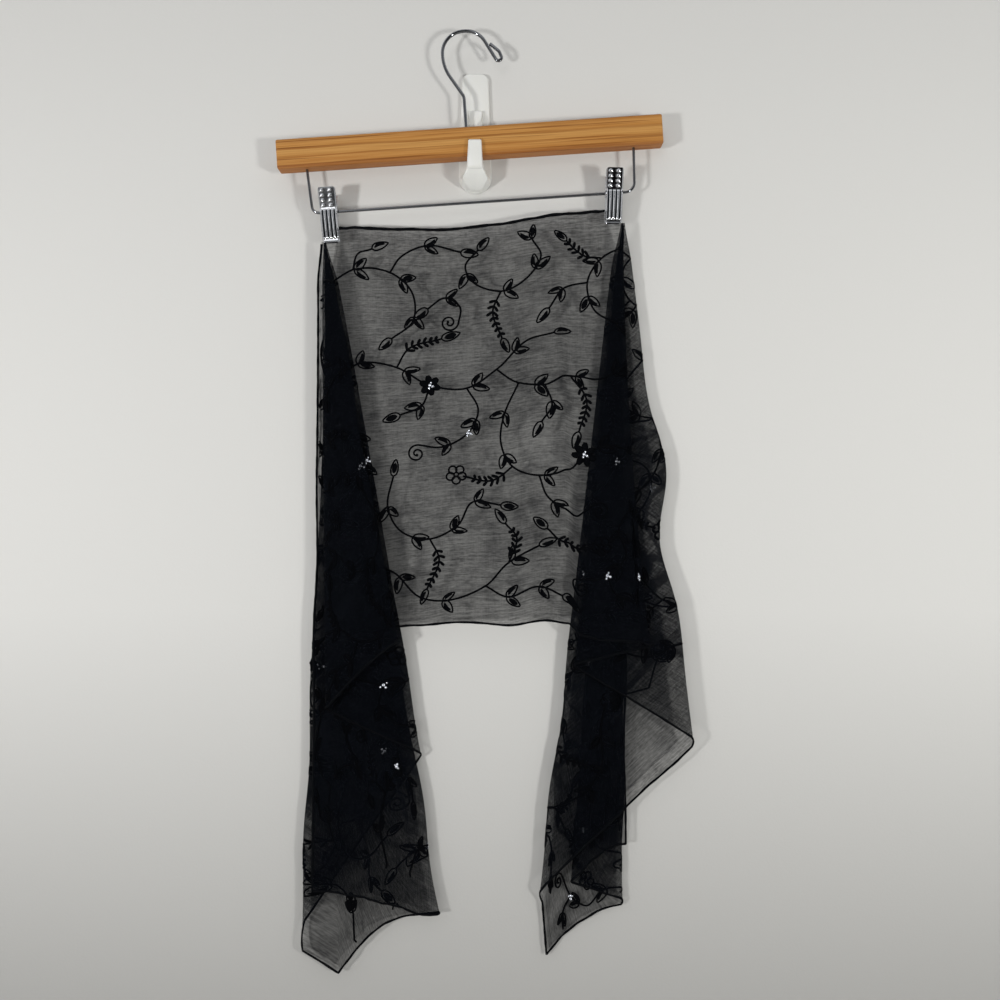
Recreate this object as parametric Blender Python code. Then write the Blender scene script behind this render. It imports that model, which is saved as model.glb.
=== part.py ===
"""A sheer scarf held by two clips of a bamboo hanger, which rests in a white wall hook.

Sizes are millimetres, and MM turns them to metres where a mesh or an object is placed. X runs to the
right, +Y into the wall and Z up. The origin is the middle of the wall plate's back, on the wall.

The scarf is one rectangle of cloth. Between the clips it hangs as a plain panel. Outside each clip the
rest of its length falls from one point, so every ray of cloth from that point keeps its length while its
direction folds to and fro in front of and behind the panel. A Tail holds that point and its folds.
"""
import math
from collections import namedtuple

import bmesh
import bpy
import numpy as np
from mathutils import Vector

MM = 0.001
GAP = 0.3

# The tilted frame that the whole hanger is built in, and the bamboo bar, whose middle is above its origin
HANGER_CENTRE = (-4.5, -16.0, -19.2)
HANGER_TILT = 3.85
BAR_LIFT = 3.15
BAR_LENGTH = 356.0
BAR_HEIGHT = 27.0
BAR_THICKNESS = 13.0
BAR_EDGE = 1.8
DRILL_RUN_OUT = 6.0

# Swivel hook: wire, drilled depth, and the corners of its outline above the bar
Corner = namedtuple("Corner", "x z radius")
HOOK_WIRE = 3.0
HOOK_SUNK = 14.0
HOOK_NECK = -2.1
HOOK_CORNERS = (
    Corner(-2.4, 47.5, 8.0),
    Corner(-19.6, 75.5, 38.0),
    Corner(-19.6, 107.8, 20.2),
    Corner(14.6, 107.8, 19.5),
    Corner(30.6, 77.8, 2.6),
    Corner(35.4, 79.6, 2.6),
    Corner(33.0, 87.0, 5.0),
    Corner(25.0, 94.4, 0.0),
)

# Rod that carries the clips: its legs splay as they rise to the bar
ROD_WIRE = 2.5
ROD_DROP = 51.0
ROD_HALF = 149.3
LEG_SUNK = 8.0
LEFT_SPLAY = 3.0
RIGHT_SPLAY = 2.1
LEFT_BEND = 6.5
RIGHT_BEND = 9.0

# Clips
JAW_WIDTH = 16.0
JAW_SHEET = 0.9
EAR_REACH = 2.6
EAR_HALF = 3.6
SPRING_RADIUS = 3.3
RIB_COUNT = 4
RIB_RISE = 0.55
Clip = namedtuple("Clip", "side across lean")
CLIPS = (Clip("left", -133.6, 0.0), Clip("right", 129.7, -4.6))
# A jaw's outline from the side: height from the rod, and distance from the cloth's plane
JawRow = namedtuple("JawRow", "height off ribbed")
JAW_ROWS = (
    JawRow(19.4, 9.9, 0.0),
    JawRow(14.0, 8.5, 0.0),
    JawRow(8.0, 6.9, 0.0),
    JawRow(2.5, 5.6, 0.0),
    JawRow(0.5, 5.3, 1.0),
    JawRow(-8.0, 4.9, 1.0),
    JawRow(-17.0, 3.5, 1.0),
    JawRow(-24.5, 1.9, 1.0),
    JawRow(-26.5, 1.35, 0.0),
    JawRow(-28.3, 1.6, 0.0),
)

# White wall hook: a plate, and an arm of pad, seat, belly and tongue
PLATE_HEIGHT = 112.0
PLATE_TOP_WIDTH = 25.0
PLATE_LOW_WIDTH = 31.0
PLATE_THICKNESS = 4.0
PLATE_CORNER = 7.0
PLATE_RIM = 1.4
ARM_WIDTH = 13.0
ARM_MIDDLE = 0.3
ARM_EDGE = 1.3
PAD_TOP = 20.0
PAD_SLOPE = 2.5
PAD_CLEARANCE = 0.4
TONGUE_CLEARANCE = 0.5
TONGUE_TOP = -15.6
TONGUE_THICKNESS = 4.3
# The belly's outline from the wall to the tongue's foot: depth and height
BELLY = ((-12.0, -56.4), (-19.5, -53.0), (-25.0, -46.5))
TONGUE_FOOT = -39.0

# Cloth
WALL = 1.0
HEM_WALL = 1.6
NIP_DEPTH = -16.0
PITCH_NIP = 1.7
PITCH_FREE = 2.6
PITCH_SPREAD = 0.8
FREE_FROM = 80.0
TIP_DROP = 680.0
BILLOW = 1.4
LEAN_RUN = 400.0
BEND_CUT = 0.8
BEND_ROUND = 0.75
BEND_LEAST = 0.4
SHORTEN_FROM = 60.0
SWELL_RUN = 220.0
BILLOW_RUN = 300.0
SAG_FROM = 63.5
SAG_OVER = 10.0
TIP_EASE = 1.8
TAIL_TOP = 2.2
ROW_SPREAD = 1.25
# The panel lies level beside each tail: that far out, and widening with the drop
LEVEL_MARGIN = 14.0
LEVEL_LEFT_LEAN = 11.5
LEVEL_RIGHT_LEAN = 7.0
# turn is +1 for a fold at the right and -1 at the left; cut is its direction on the flat cloth, from 0 under
# the clip to 90 along the top hem; lean is the direction in which it hangs; slot is the place from the front
# that the next layer takes; sway is how far the fold's edge swings out and in about a place down its ray
Fold = namedtuple("Fold", "turn cut lean_top lean_low reach slot sway sway_at")
SWAY_RUN = 90.0
# tip_along is where the cloth's corner hangs, as a share of the way across its layer
Tail = namedtuple(
    "Tail",
    "side apex_x apex_z shift panel_slot forward width length sag seam_x seam_lean swell tip_along folds edge",
)
LEFT_TAIL = Tail(
    side=-1, apex_x=-141.5, apex_z=-105.7, shift=2.0, panel_slot=3, forward=2.6,
    width=366.0, length=576.0, sag=28.0, seam_x=4.0, seam_lean=1.6, swell=2.6, tip_along=0.25,
    folds=(
        Fold(-1, 3.0, 0.5, 1.2, -0.3, 2, 0.0, 200.0),
        Fold(+1, 12.0, 10.0, 10.2, 3.6, 1, 1.5, 150.0),
        Fold(-1, 32.0, 0.2, 0.5, 1.6, 4, 0.0, 200.0),
        Fold(+1, 41.0, 11.0, 10.1, 4.6, 7, 1.2, 430.0),
        Fold(-1, 55.6, -0.2, -2.0, 0.4, 6, 2.0, 520.0),
        Fold(+1, 69.0, 9.2, 9.5, 2.4, 5, 2.5, 560.0),
    ),
    edge=Fold(-1, 90.0, -0.1, -0.5, 6.6, 5, 1.5, 330.0),
)
RIGHT_TAIL = Tail(
    side=+1, apex_x=136.7, apex_z=-88.2, shift=0.5, panel_slot=1, forward=8.4,
    width=387.0, length=570.0, sag=8.0, seam_x=-2.2, seam_lean=1.6, swell=0.0, tip_along=0.12,
    folds=(
        Fold(+1, 9.0, 0.3, 3.5, 0.4, 2, 0.0, 200.0),
        Fold(-1, 20.0, -5.2, -6.0, 2.4, 3, 2.0, 230.0),
        Fold(+1, 37.0, 7.3, 7.2, 4.1, 4, 9.0, 264.0),
        Fold(-1, 52.0, -6.6, -6.6, 4.8, 7, 2.5, 500.0),
        Fold(+1, 64.0, 0.2, 0.1, 0.6, 6, 1.5, 560.0),
        Fold(-1, 69.0, -3.6, -4.2, 2.4, 5, 1.5, 400.0),
    ),
    edge=Fold(+1, 90.0, 0.2, 0.3, 0.2, 5, 1.5, 450.0),
)
# Panel: the top hem's sag below the line between the clips, and the bottom hem's rise above its corners,
# both by share of the way across
HemRow = namedtuple("HemRow", "across top low")
TOP_HEM_LIFT = 11.5
PANEL_HEMS = (
    HemRow(0.00, 0.0, 0.0),
    HemRow(0.08, -0.8, 4.5),
    HemRow(0.27, -5.6, 11.5),
    HemRow(0.42, -8.2, 15.0),
    HemRow(0.58, -6.3, 13.5),
    HemRow(0.71, -3.0, 18.5),
    HemRow(0.78, -1.0, 16.0),
    HemRow(0.83, -0.6, 5.0),
    HemRow(0.90, -0.5, 1.0),
    HemRow(1.00, 0.0, 0.0),
)

ARC_STEPS = 4
LAYER_STEPS = 4
TIP_STEPS = 8
TAIL_ROWS = 14
PANEL_COLUMNS = 26
PANEL_ROWS = 14


def clear_scene():
    for item in list(bpy.data.objects):
        bpy.data.objects.remove(item, do_unlink=True)


def finish(name, colour, roughness, metallic=0.0):
    """A Principled material with the part's own colour."""
    made = bpy.data.materials.new(name)
    made.use_nodes = True
    shader = made.node_tree.nodes["Principled BSDF"]
    shader.inputs["Base Color"].default_value = (*colour, 1.0)
    shader.inputs["Roughness"].default_value = roughness
    shader.inputs["Metallic"].default_value = metallic
    return made


def add_object(name, mesh, parent=None, colour=(0.5, 0.5, 0.5), roughness=0.5, metallic=0.0):
    item = bpy.data.objects.new(name, mesh)
    bpy.context.collection.objects.link(item)
    item.parent = parent
    mesh.materials.append(finish(name + "_finish", colour, roughness, metallic))
    return item


def add_empty(name, place, turn_y=0.0, parent=None):
    """An empty that turns what it carries about Y, anticlockwise as seen from the front."""
    item = bpy.data.objects.new(name, None)
    bpy.context.collection.objects.link(item)
    item.parent = parent
    item.location = Vector(place) * MM
    item.rotation_euler = (0.0, -math.radians(turn_y), 0.0)
    return item


def mesh_from(name, points, faces, smooth_under=35.0):
    """A mesh from points in millimetres, its faces turned outwards."""
    mesh = bpy.data.meshes.new(name)
    mesh.from_pydata([Vector(p) * MM for p in points], [], faces)
    work = bmesh.new()
    work.from_mesh(mesh)
    bmesh.ops.recalc_face_normals(work, faces=work.faces)
    if work.calc_volume(signed=True) < 0:
        bmesh.ops.reverse_faces(work, faces=work.faces)
    work.to_mesh(mesh)
    work.free()
    mesh.shade_smooth()
    mesh.set_sharp_from_angle(angle=math.radians(smooth_under))
    return mesh


def extruded(name, outline, middle, width):
    """A solid from an outline of (depth, height) points, extruded across X about its middle."""
    count = len(outline)
    points = [(middle + sign * width / 2, y, z) for sign in (-1, 1) for y, z in outline]
    faces = [tuple(range(count)), tuple(range(2 * count - 1, count - 1, -1))]
    for i in range(count):
        j = (i + 1) % count
        faces.append((i, j, count + j, count + i))
    return mesh_from(name, points, faces)


def box(name, low, high):
    x0, y0, z0 = low
    x1, y1, z1 = high
    outline = [(y0, z0), (y1, z0), (y1, z1), (y0, z1)]
    return extruded(name, outline, (x0 + x1) / 2, x1 - x0)


def add_bevel(item, width, segments):
    bevel = item.modifiers.new("rounded edges", "BEVEL")
    bevel.width = width * MM
    bevel.segments = segments
    bevel.limit_method = "ANGLE"


def hide_tool(item):
    item.hide_render = True
    item.display_type = "WIRE"


def add_boolean(item, tool, operation):
    hide_tool(tool)
    change = item.modifiers.new(operation.lower(), "BOOLEAN")
    change.operation = operation
    change.object = tool


def cylinder_mesh(name, start, end, radius, sides=14):
    """A closed cylinder between two points."""
    along = (Vector(end) - Vector(start)).normalized()
    side = along.orthogonal().normalized()
    other = along.cross(side)
    points = []
    for centre in (Vector(start), Vector(end)):
        for i in range(sides):
            turn = 2 * math.pi * i / sides
            points.append(centre + radius * (side * math.cos(turn) + other * math.sin(turn)))
    faces = [tuple(range(sides)), tuple(range(2 * sides - 1, sides - 1, -1))]
    for i in range(sides):
        j = (i + 1) % sides
        faces.append((i, j, sides + j, sides + i))
    return mesh_from(name, points, faces)


def rounded_route(corners, step_degrees=14.0):
    """Points along a route in the XZ plane whose corners are (x, z, radius) and are rounded by arcs."""
    route = [Vector(corners[0][:2])]
    for before, corner, after in zip(corners, corners[1:], corners[2:]):
        here = Vector(corner[:2])
        back = (Vector(before[:2]) - here).normalized()
        ahead = (Vector(after[:2]) - here).normalized()
        turn = math.pi - back.angle(ahead)
        run = corner[2] * math.tan(turn / 2)
        start = here + back * run
        end = here + ahead * run
        centre = here + (back + ahead).normalized() * (corner[2] / math.cos(turn / 2))
        steps = max(2, round(math.degrees(turn) / step_degrees))
        for i in range(steps + 1):
            share = i / steps
            spoke = (start - centre).lerp(end - centre, share)
            angle = turn * share
            other = end - centre - (start - centre) * math.cos(turn)
            spoke = (start - centre) * math.cos(angle) + other * (math.sin(angle) / math.sin(turn))
            route.append(centre + spoke)
    route.append(Vector(corners[-1][:2]))
    return route


def wire(name, route, diameter, parent, colour, roughness):
    """A bent wire with filled ends along a route in the XZ plane."""
    curve = bpy.data.curves.new(name, "CURVE")
    curve.dimensions = "3D"
    curve.bevel_depth = diameter / 2 * MM
    curve.bevel_resolution = 2
    curve.use_fill_caps = True
    spline = curve.splines.new("POLY")
    spline.points.add(len(route) - 1)
    for point, (x, z) in zip(spline.points, route):
        point.co = (x * MM, 0.0, z * MM, 1.0)
    item = bpy.data.objects.new(name, curve)
    bpy.context.collection.objects.link(item)
    item.parent = parent
    curve.materials.append(finish(name + "_finish", colour, roughness, 1.0))
    return item


STEEL = (0.62, 0.63, 0.65)
BAMBOO = (0.48, 0.22, 0.05)
WHITE = (0.82, 0.82, 0.80)
BLACK_CLOTH = (0.035, 0.036, 0.042)


def hook_route():
    """The swivel hook: straight neck, kink, round crook and a tip that curls back."""
    foot = Corner(HOOK_NECK, BAR_LIFT + BAR_HEIGHT / 2 - HOOK_SUNK, 0.0)
    return rounded_route((foot,) + HOOK_CORNERS)


def rod_route():
    """The rod under the bar: two splayed legs and the straight run that the clips ride on."""
    top = BAR_LIFT - BAR_HEIGHT / 2 + LEG_SUNK
    return rounded_route(
        (
            Corner(-ROD_HALF - LEFT_SPLAY, top, 0.0),
            Corner(-ROD_HALF, -ROD_DROP, LEFT_BEND),
            Corner(ROD_HALF, -ROD_DROP, RIGHT_BEND),
            Corner(ROD_HALF + RIGHT_SPLAY, top, 0.0),
        )
    )


def drill(bar, name, start, towards, depth, diameter):
    """A hole in the bar along the wire that sits in it."""
    end = Vector((start[0], 0.0, start[1]))
    along = (end - Vector((towards[0], 0.0, towards[1]))).normalized()
    mesh = cylinder_mesh(name, end - along * (depth + DRILL_RUN_OUT), end + along * GAP, diameter / 2 + GAP)
    tool = add_object(name, mesh, bar.parent)
    add_boolean(bar, tool, "DIFFERENCE")


def add_hanger():
    hanger = add_empty("hanger", HANGER_CENTRE, HANGER_TILT)
    low = (-BAR_LENGTH / 2, -BAR_THICKNESS / 2, BAR_LIFT - BAR_HEIGHT / 2)
    high = (BAR_LENGTH / 2, BAR_THICKNESS / 2, BAR_LIFT + BAR_HEIGHT / 2)
    bar = add_object("hanger_bar", box("hanger_bar", low, high), hanger, BAMBOO, 0.45)
    add_bevel(bar, BAR_EDGE, 3)
    hook = hook_route()
    rod = rod_route()
    drill(bar, "hook_bore", hook[0], hook[1], HOOK_SUNK, HOOK_WIRE)
    drill(bar, "left_leg_bore", rod[0], rod[1], LEG_SUNK, ROD_WIRE)
    drill(bar, "right_leg_bore", rod[-1], rod[-2], LEG_SUNK, ROD_WIRE)
    wire("steel_hook", hook, HOOK_WIRE, hanger, STEEL, 0.15)
    wire("clip_rod", rod, ROD_WIRE, hanger, STEEL, 0.15)
    return hanger


def jaw_columns():
    """Places across a jaw, and how far each stands up on a rib."""
    columns = [(-JAW_WIDTH / 2, 0.0)]
    spacing = JAW_WIDTH / (RIB_COUNT + 0.6)
    foot = spacing * 0.36
    for i in range(RIB_COUNT):
        middle = (i - (RIB_COUNT - 1) / 2) * spacing
        columns += [(middle - foot, 0.0), (middle, 1.0), (middle + foot, 0.0)]
    columns.append((JAW_WIDTH / 2, 0.0))
    return columns


def jaw_mesh(name, front):
    """A stamped jaw: a bent sheet with raised upright ribs below the rod."""
    columns = jaw_columns()
    points = []
    for skin in (-JAW_SHEET / 2, JAW_SHEET / 2):
        for row in JAW_ROWS:
            for x, rib in columns:
                rise = rib * row.ribbed * RIB_RISE if skin > 0 else 0.0
                points.append((x, front * (row.off + skin + rise), row.height))
    return mesh_from(name, points, shell_faces(len(JAW_ROWS), len(columns)), 30.0)


def shell_faces(rows, columns):
    """Faces of a closed sheet whose points are two skins of rows by columns."""
    other = rows * columns
    faces = []
    for r in range(rows - 1):
        for c in range(columns - 1):
            a = r * columns + c
            b = a + columns
            faces.append((a, a + 1, b + 1, b))
            faces.append((other + a, other + b, other + b + 1, other + a + 1))
    for c in range(columns - 1):
        for a in (c, (rows - 1) * columns + c):
            faces.append((a, a + 1, other + a + 1, other + a))
    for r in range(rows - 1):
        for a in (r * columns, r * columns + columns - 1):
            faces.append((a, a + columns, other + a + columns, other + a))
    return faces


def rod_bore(name, clip, hanger, reach):
    """A tool along the rod, so that a leaning clip is bored where the rod really runs."""
    start = (clip.across - reach, 0.0, -ROD_DROP)
    end = (clip.across + reach, 0.0, -ROD_DROP)
    return add_object(name, cylinder_mesh(name, start, end, ROD_WIRE / 2 + GAP), hanger)


def add_jaw(clip, holder, hanger, front):
    """One jaw with its two ears, which the rod passes through."""
    word = "front" if front < 0 else "rear"
    name = f"{clip.side}_clip_{word}_jaw"
    jaw = add_object(name, jaw_mesh(name, front), holder, STEEL, 0.25, 1.0)
    inset = 0.0 if front < 0 else JAW_SHEET + GAP
    near = front * (JAW_ROWS[3].off + 0.1)
    far = -front * EAR_REACH
    for side in (-1, 1):
        outer = side * (JAW_WIDTH / 2 - 0.05 - inset)
        inner = outer - side * JAW_SHEET
        low = (min(outer, inner), min(near, far), -EAR_HALF)
        high = (max(outer, inner), max(near, far), EAR_HALF)
        ear = add_object(f"{name}_ear", box("ear", low, high), holder)
        add_boolean(jaw, ear, "UNION")
    add_boolean(jaw, rod_bore(f"{name}_bore", clip, hanger, JAW_WIDTH), "DIFFERENCE")


def add_spring(clip, holder, hanger):
    """The coil between the ears, as its outer shape round the rod."""
    name = f"{clip.side}_clip_spring"
    half = JAW_WIDTH / 2 - 2 * (JAW_SHEET + GAP) - 0.2
    coil = cylinder_mesh(name, (-half, 0, 0), (half, 0, 0), SPRING_RADIUS)
    spring = add_object(name, coil, holder, STEEL, 0.3, 1.0)
    add_boolean(spring, rod_bore(f"{name}_bore", clip, hanger, JAW_WIDTH / 2), "DIFFERENCE")


def add_clips(hanger):
    for clip in CLIPS:
        holder = add_empty(f"{clip.side}_clip", (clip.across, 0.0, -ROD_DROP), clip.lean, hanger)
        for front in (-1, 1):
            add_jaw(clip, holder, hanger, front)
        add_spring(clip, holder, hanger)


def plate_outline():
    """The wall plate from the front: slightly wider below, with round corners and a round foot."""
    top = PLATE_HEIGHT / 2
    outline = []
    for side, start in ((1, 0.0), (-1, 90.0)):
        centre = side * (PLATE_TOP_WIDTH / 2 - PLATE_CORNER)
        for i in range(5):
            turn = math.radians(start + 22.5 * i)
            outline.append((centre + PLATE_CORNER * math.cos(turn), top - PLATE_CORNER * (1 - math.sin(turn))))
    foot = PLATE_LOW_WIDTH / 2
    for i in range(11):
        turn = math.radians(180.0 + 18.0 * i)
        outline.append((foot * math.cos(turn), -top + foot + foot * math.sin(turn)))
    return outline


def add_plate():
    """The plate on the wall, with its front rim rounded."""
    outline = plate_outline()
    count = len(outline)
    points = [(x, y, z) for y in (0.0, -PLATE_THICKNESS) for x, z in outline]
    faces = [tuple(range(count)), tuple(range(2 * count - 1, count - 1, -1))]
    for i in range(count):
        j = (i + 1) % count
        faces.append((i, j, count + j, count + i))
    plate = add_object("wall_plate", mesh_from("wall_plate", points, faces), None, WHITE, 0.3)
    group = plate.vertex_groups.new(name="front rim")
    group.add(range(count, 2 * count), 1.0, "REPLACE")
    bevel = plate.modifiers.new("rounded rim", "BEVEL")
    bevel.width = PLATE_RIM * MM
    bevel.segments = 2
    bevel.limit_method = "VGROUP"
    bevel.vertex_group = group.name


def seat_height():
    """Height of the arm's seat, just under the bar where the tilted bar is lowest over it."""
    tilt = math.radians(HANGER_TILT)
    low_side = ARM_MIDDLE - ARM_WIDTH / 2 - HANGER_CENTRE[0]
    below = (BAR_LIFT - BAR_HEIGHT / 2) / math.cos(tilt)
    return HANGER_CENTRE[2] + below + low_side * math.tan(tilt) - GAP


def add_arm():
    """The arm in front of the plate: pad behind the bar, seat under it and tongue before it."""
    back = -PLATE_THICKNESS - GAP
    pad = HANGER_CENTRE[1] + BAR_THICKNESS / 2 + PAD_CLEARANCE
    inner = HANGER_CENTRE[1] - BAR_THICKNESS / 2 - TONGUE_CLEARANCE
    outer = inner - TONGUE_THICKNESS
    seat = seat_height()
    outline = [(back, -PLATE_HEIGHT / 2), *BELLY, (outer, TONGUE_FOOT)]
    outline += [(outer, TONGUE_TOP - 4.0), (outer + 0.8, TONGUE_TOP - 1.2), (inner - 1.8, TONGUE_TOP)]
    outline += [(inner - 0.5, TONGUE_TOP - 1.2), (inner, TONGUE_TOP - 4.0), (inner, seat)]
    outline += [(pad, seat), (pad, PAD_TOP - PAD_SLOPE), (back, PAD_TOP)]
    arm = add_object("wall_arm", extruded("wall_arm", outline, ARM_MIDDLE, ARM_WIDTH), None, WHITE, 0.25)
    add_bevel(arm, ARM_EDGE, 2)


def smooth(value):
    value = min(max(value, 0.0), 1.0)
    return value * value * (3.0 - 2.0 * value)


def pitch(drop):
    """Distance between the middles of stacked layers at a drop below the clip."""
    opened = (PITCH_FREE - PITCH_NIP) * smooth(drop / FREE_FROM)
    return PITCH_NIP + opened + PITCH_SPREAD * max(drop, 0.0) / TIP_DROP


def panel_depth(tail, drop):
    """Depth of the panel's layer beside a tail."""
    return NIP_DEPTH - tail.forward * smooth(drop / LEAN_RUN)


def billow(x, z):
    """Soft upright waves that every layer shares, so that none meets its neighbour."""
    below = min(LEFT_TAIL.apex_z, RIGHT_TAIL.apex_z) - z
    swing = math.sin(x / 11.5 + 0.6) * 0.6 + math.sin(x / 26.0 - z / 210.0) * 0.4
    return BILLOW * smooth(below / BILLOW_RUN) * swing


def seam_line(tail, drop):
    """Where the panel's side edge meets the tail's first layer."""
    return tail.apex_x + tail.seam_x + drop * math.tan(math.radians(tail.seam_lean))


def fold_edge(tail, fold, ray):
    """How far across the outermost point of a fold lies at a distance down its ray."""
    share = min(ray / LEAN_RUN, 1.0)
    lean = math.radians(fold.lean_top + (fold.lean_low - fold.lean_top) * share)
    away = (ray - fold.sway_at) / SWAY_RUN
    sway = -fold.sway * math.sin(math.pi * away) * math.exp(-away * away)
    return tail.apex_x + tail.shift + ray * math.sin(lean) + fold.turn * fold.reach + sway


def fold_bend(before, after, drop):
    """Half width of the round bend between two slots."""
    deep = abs(after - before) / 2 * pitch(drop)
    return BEND_ROUND * deep + BEND_LEAST


def hem_ray(tail, cut):
    """Distance from the clip to the cloth's hem in a direction on the flat cloth."""
    angle = math.radians(cut)
    if cut <= corner_cut(tail):
        return tail.width / math.cos(angle)
    return (tail.length + tail.sag * smooth((cut - SAG_FROM) / SAG_OVER)) / math.sin(angle)


def corner_cut(tail):
    """Direction of the cloth's far corner on the flat cloth."""
    return math.degrees(math.atan2(tail.length, tail.width))


def layer_cuts(tail, layer):
    """Directions on the flat cloth at which a layer starts and ends."""
    folds = tail.folds
    low = 0.0 if layer == 0 else folds[layer - 1].cut + BEND_CUT
    high = tail.edge.cut if layer == len(folds) else folds[layer].cut - BEND_CUT
    return low, high


def tail_stations(tail):
    """Layers, as shares of the way across each, and the bends between them, as the cloth runs."""
    stations = []
    for layer in range(len(tail.folds) + 1):
        low, high = layer_cuts(tail, layer)
        if low < corner_cut(tail) < high:
            rest = 1.0 - tail.tip_along
            shares = [0.0, tail.tip_along / 2]
            shares += [tail.tip_along + rest * i / TIP_STEPS for i in range(TIP_STEPS + 1)]
        else:
            steps = 2 if layer == 0 else LAYER_STEPS
            shares = [i / steps for i in range(steps + 1)]
        stations += [(layer, share, None) for share in shares]
        if layer < len(tail.folds):
            for i in range(1, ARC_STEPS):
                stations.append((layer, 1.0, -90.0 + 180.0 * i / ARC_STEPS))
    return stations


def station_cut(tail, layer, along, arc):
    """Direction on the flat cloth of a station of the tail."""
    if arc is not None:
        return tail.folds[layer].cut + BEND_CUT * arc / 90.0
    low, high = layer_cuts(tail, layer)
    corner = corner_cut(tail)
    if not low < corner < high:
        return low + (high - low) * along
    if along <= tail.tip_along:
        return low + (corner - low) * along / tail.tip_along
    past = (along - tail.tip_along) / (1.0 - tail.tip_along)
    return corner + (high - corner) * (1.0 - (1.0 - past) ** TIP_EASE)


def tail_point(tail, layer, along, arc, ray):
    """Where a station of the tail hangs at a distance down its ray from the clip."""
    folds = tail.folds
    slots = [tail.panel_slot] + [fold.slot for fold in folds]
    middle = tail.apex_x + tail.shift
    slot = slots[layer]
    if arc is not None:
        fold = folds[layer]
        wide = fold_bend(slots[layer], slots[layer + 1], ray)
        turn = math.radians(arc)
        x = fold_edge(tail, fold, ray) - fold.turn * wide * (1.0 - math.cos(turn))
        mid = (slots[layer] + slots[layer + 1]) / 2
        slot = mid + (slots[layer + 1] - slots[layer]) / 2 * math.sin(turn)
        lift = 0.0
    else:
        if layer == 0:
            start = seam_line(tail, ray) + tail.side * GAP / 2
        else:
            fold = folds[layer - 1]
            start = fold_edge(tail, fold, ray) - fold.turn * fold_bend(slots[layer - 1], slot, ray)
        if layer == len(folds):
            end = fold_edge(tail, tail.edge, ray)
        else:
            fold = folds[layer]
            end = fold_edge(tail, fold, ray) - fold.turn * fold_bend(slot, slots[layer + 1], ray)
        x = start + (end - start) * along
        lift = tail.swell * math.sin(math.pi * along) * smooth(ray / SWELL_RUN) if slot == 1 else 0.0
    aside = min(abs(x - middle), ray * 0.9)
    shortened = ray - math.sqrt(ray * ray - aside * aside)
    drop = ray - shortened * smooth(ray / SHORTEN_FROM)
    z = tail.apex_z - drop
    y = panel_depth(tail, drop) + (slot - tail.panel_slot) * pitch(drop) - lift + billow(x, z)
    return (x, y, z)


def wall_solid(name, grid, thickness):
    """A closed wall about a grid of points, with its own thickness at each row."""
    grid = np.array(grid)
    along = np.gradient(grid, axis=1)
    down = np.gradient(grid, axis=0)
    normals = np.cross(along, down)
    normals /= np.linalg.norm(normals, axis=2, keepdims=True)
    half = np.array(thickness)[:, None, None] / 2
    points = [tuple(p) for skin in (grid + normals * half, grid - normals * half) for p in skin.reshape(-1, 3)]
    return mesh_from(name, points, shell_faces(grid.shape[0], grid.shape[1]), 50.0)


def add_tail(tail, name):
    rows = []
    thickness = []
    for i in range(TAIL_ROWS + 1):
        share = (i / TAIL_ROWS) ** ROW_SPREAD
        row = []
        for layer, along, arc in tail_stations(tail):
            hem = hem_ray(tail, station_cut(tail, layer, along, arc))
            row.append(tail_point(tail, layer, along, arc, TAIL_TOP + share * (hem - TAIL_TOP)))
        rows.append(row)
        thickness.append(HEM_WALL if i == TAIL_ROWS else WALL)
    add_object(name, wall_solid(name, rows, thickness), None, BLACK_CLOTH, 0.7)


def hem_shape(across):
    """Top sag and low rise at a share of the way across, on a smooth line through the table."""
    for left, right in zip(PANEL_HEMS, PANEL_HEMS[1:]):
        if across <= right.across:
            share = smooth((across - left.across) / (right.across - left.across))
            top = left.top + (right.top - left.top) * share
            low = left.low + (right.low - left.low) * share
            return top, low
    return PANEL_HEMS[-1].top, PANEL_HEMS[-1].low


def panel_point(across, down):
    """A point of the panel: across from the left seam to the right one, down from the top hem."""
    sag, rise = hem_shape(across)
    left_low = LEFT_TAIL.apex_z - hem_ray(LEFT_TAIL, 0.0)
    right_low = RIGHT_TAIL.apex_z - hem_ray(RIGHT_TAIL, 0.0)
    top = LEFT_TAIL.apex_z + (RIGHT_TAIL.apex_z - LEFT_TAIL.apex_z) * across + TOP_HEM_LIFT + sag
    low = left_low + (right_low - left_low) * across + rise
    z = top + (low - top) * down
    left = seam_line(LEFT_TAIL, LEFT_TAIL.apex_z - z) + GAP / 2
    right = seam_line(RIGHT_TAIL, RIGHT_TAIL.apex_z - z) - GAP / 2
    x = left + (right - left) * across
    return (x, layer_depth(x, z) + billow(x, z), z)


def layer_depth(x, z):
    """The panel's depth, level behind the left tail's flaps and before the right tail's layers."""
    left_drop = LEFT_TAIL.apex_z - z
    right_drop = RIGHT_TAIL.apex_z - z
    left_out = max(left_drop, 0.0) * math.tan(math.radians(LEVEL_LEFT_LEAN)) + LEVEL_MARGIN
    right_out = max(right_drop, 0.0) * math.tan(math.radians(LEVEL_RIGHT_LEAN)) + LEVEL_MARGIN
    start = LEFT_TAIL.apex_x + left_out
    end = RIGHT_TAIL.apex_x - right_out
    share = smooth((x - start) / (end - start))
    near = panel_depth(LEFT_TAIL, left_drop)
    far = panel_depth(RIGHT_TAIL, right_drop)
    return near + (far - near) * share


def add_panel():
    rows = []
    thickness = []
    for i in range(PANEL_ROWS + 1):
        rows.append([panel_point(c / PANEL_COLUMNS, i / PANEL_ROWS) for c in range(PANEL_COLUMNS + 1)])
        thickness.append(HEM_WALL if i == PANEL_ROWS else WALL)
    add_object("scarf_panel", wall_solid("scarf_panel", rows, thickness), None, BLACK_CLOTH, 0.7)


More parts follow.
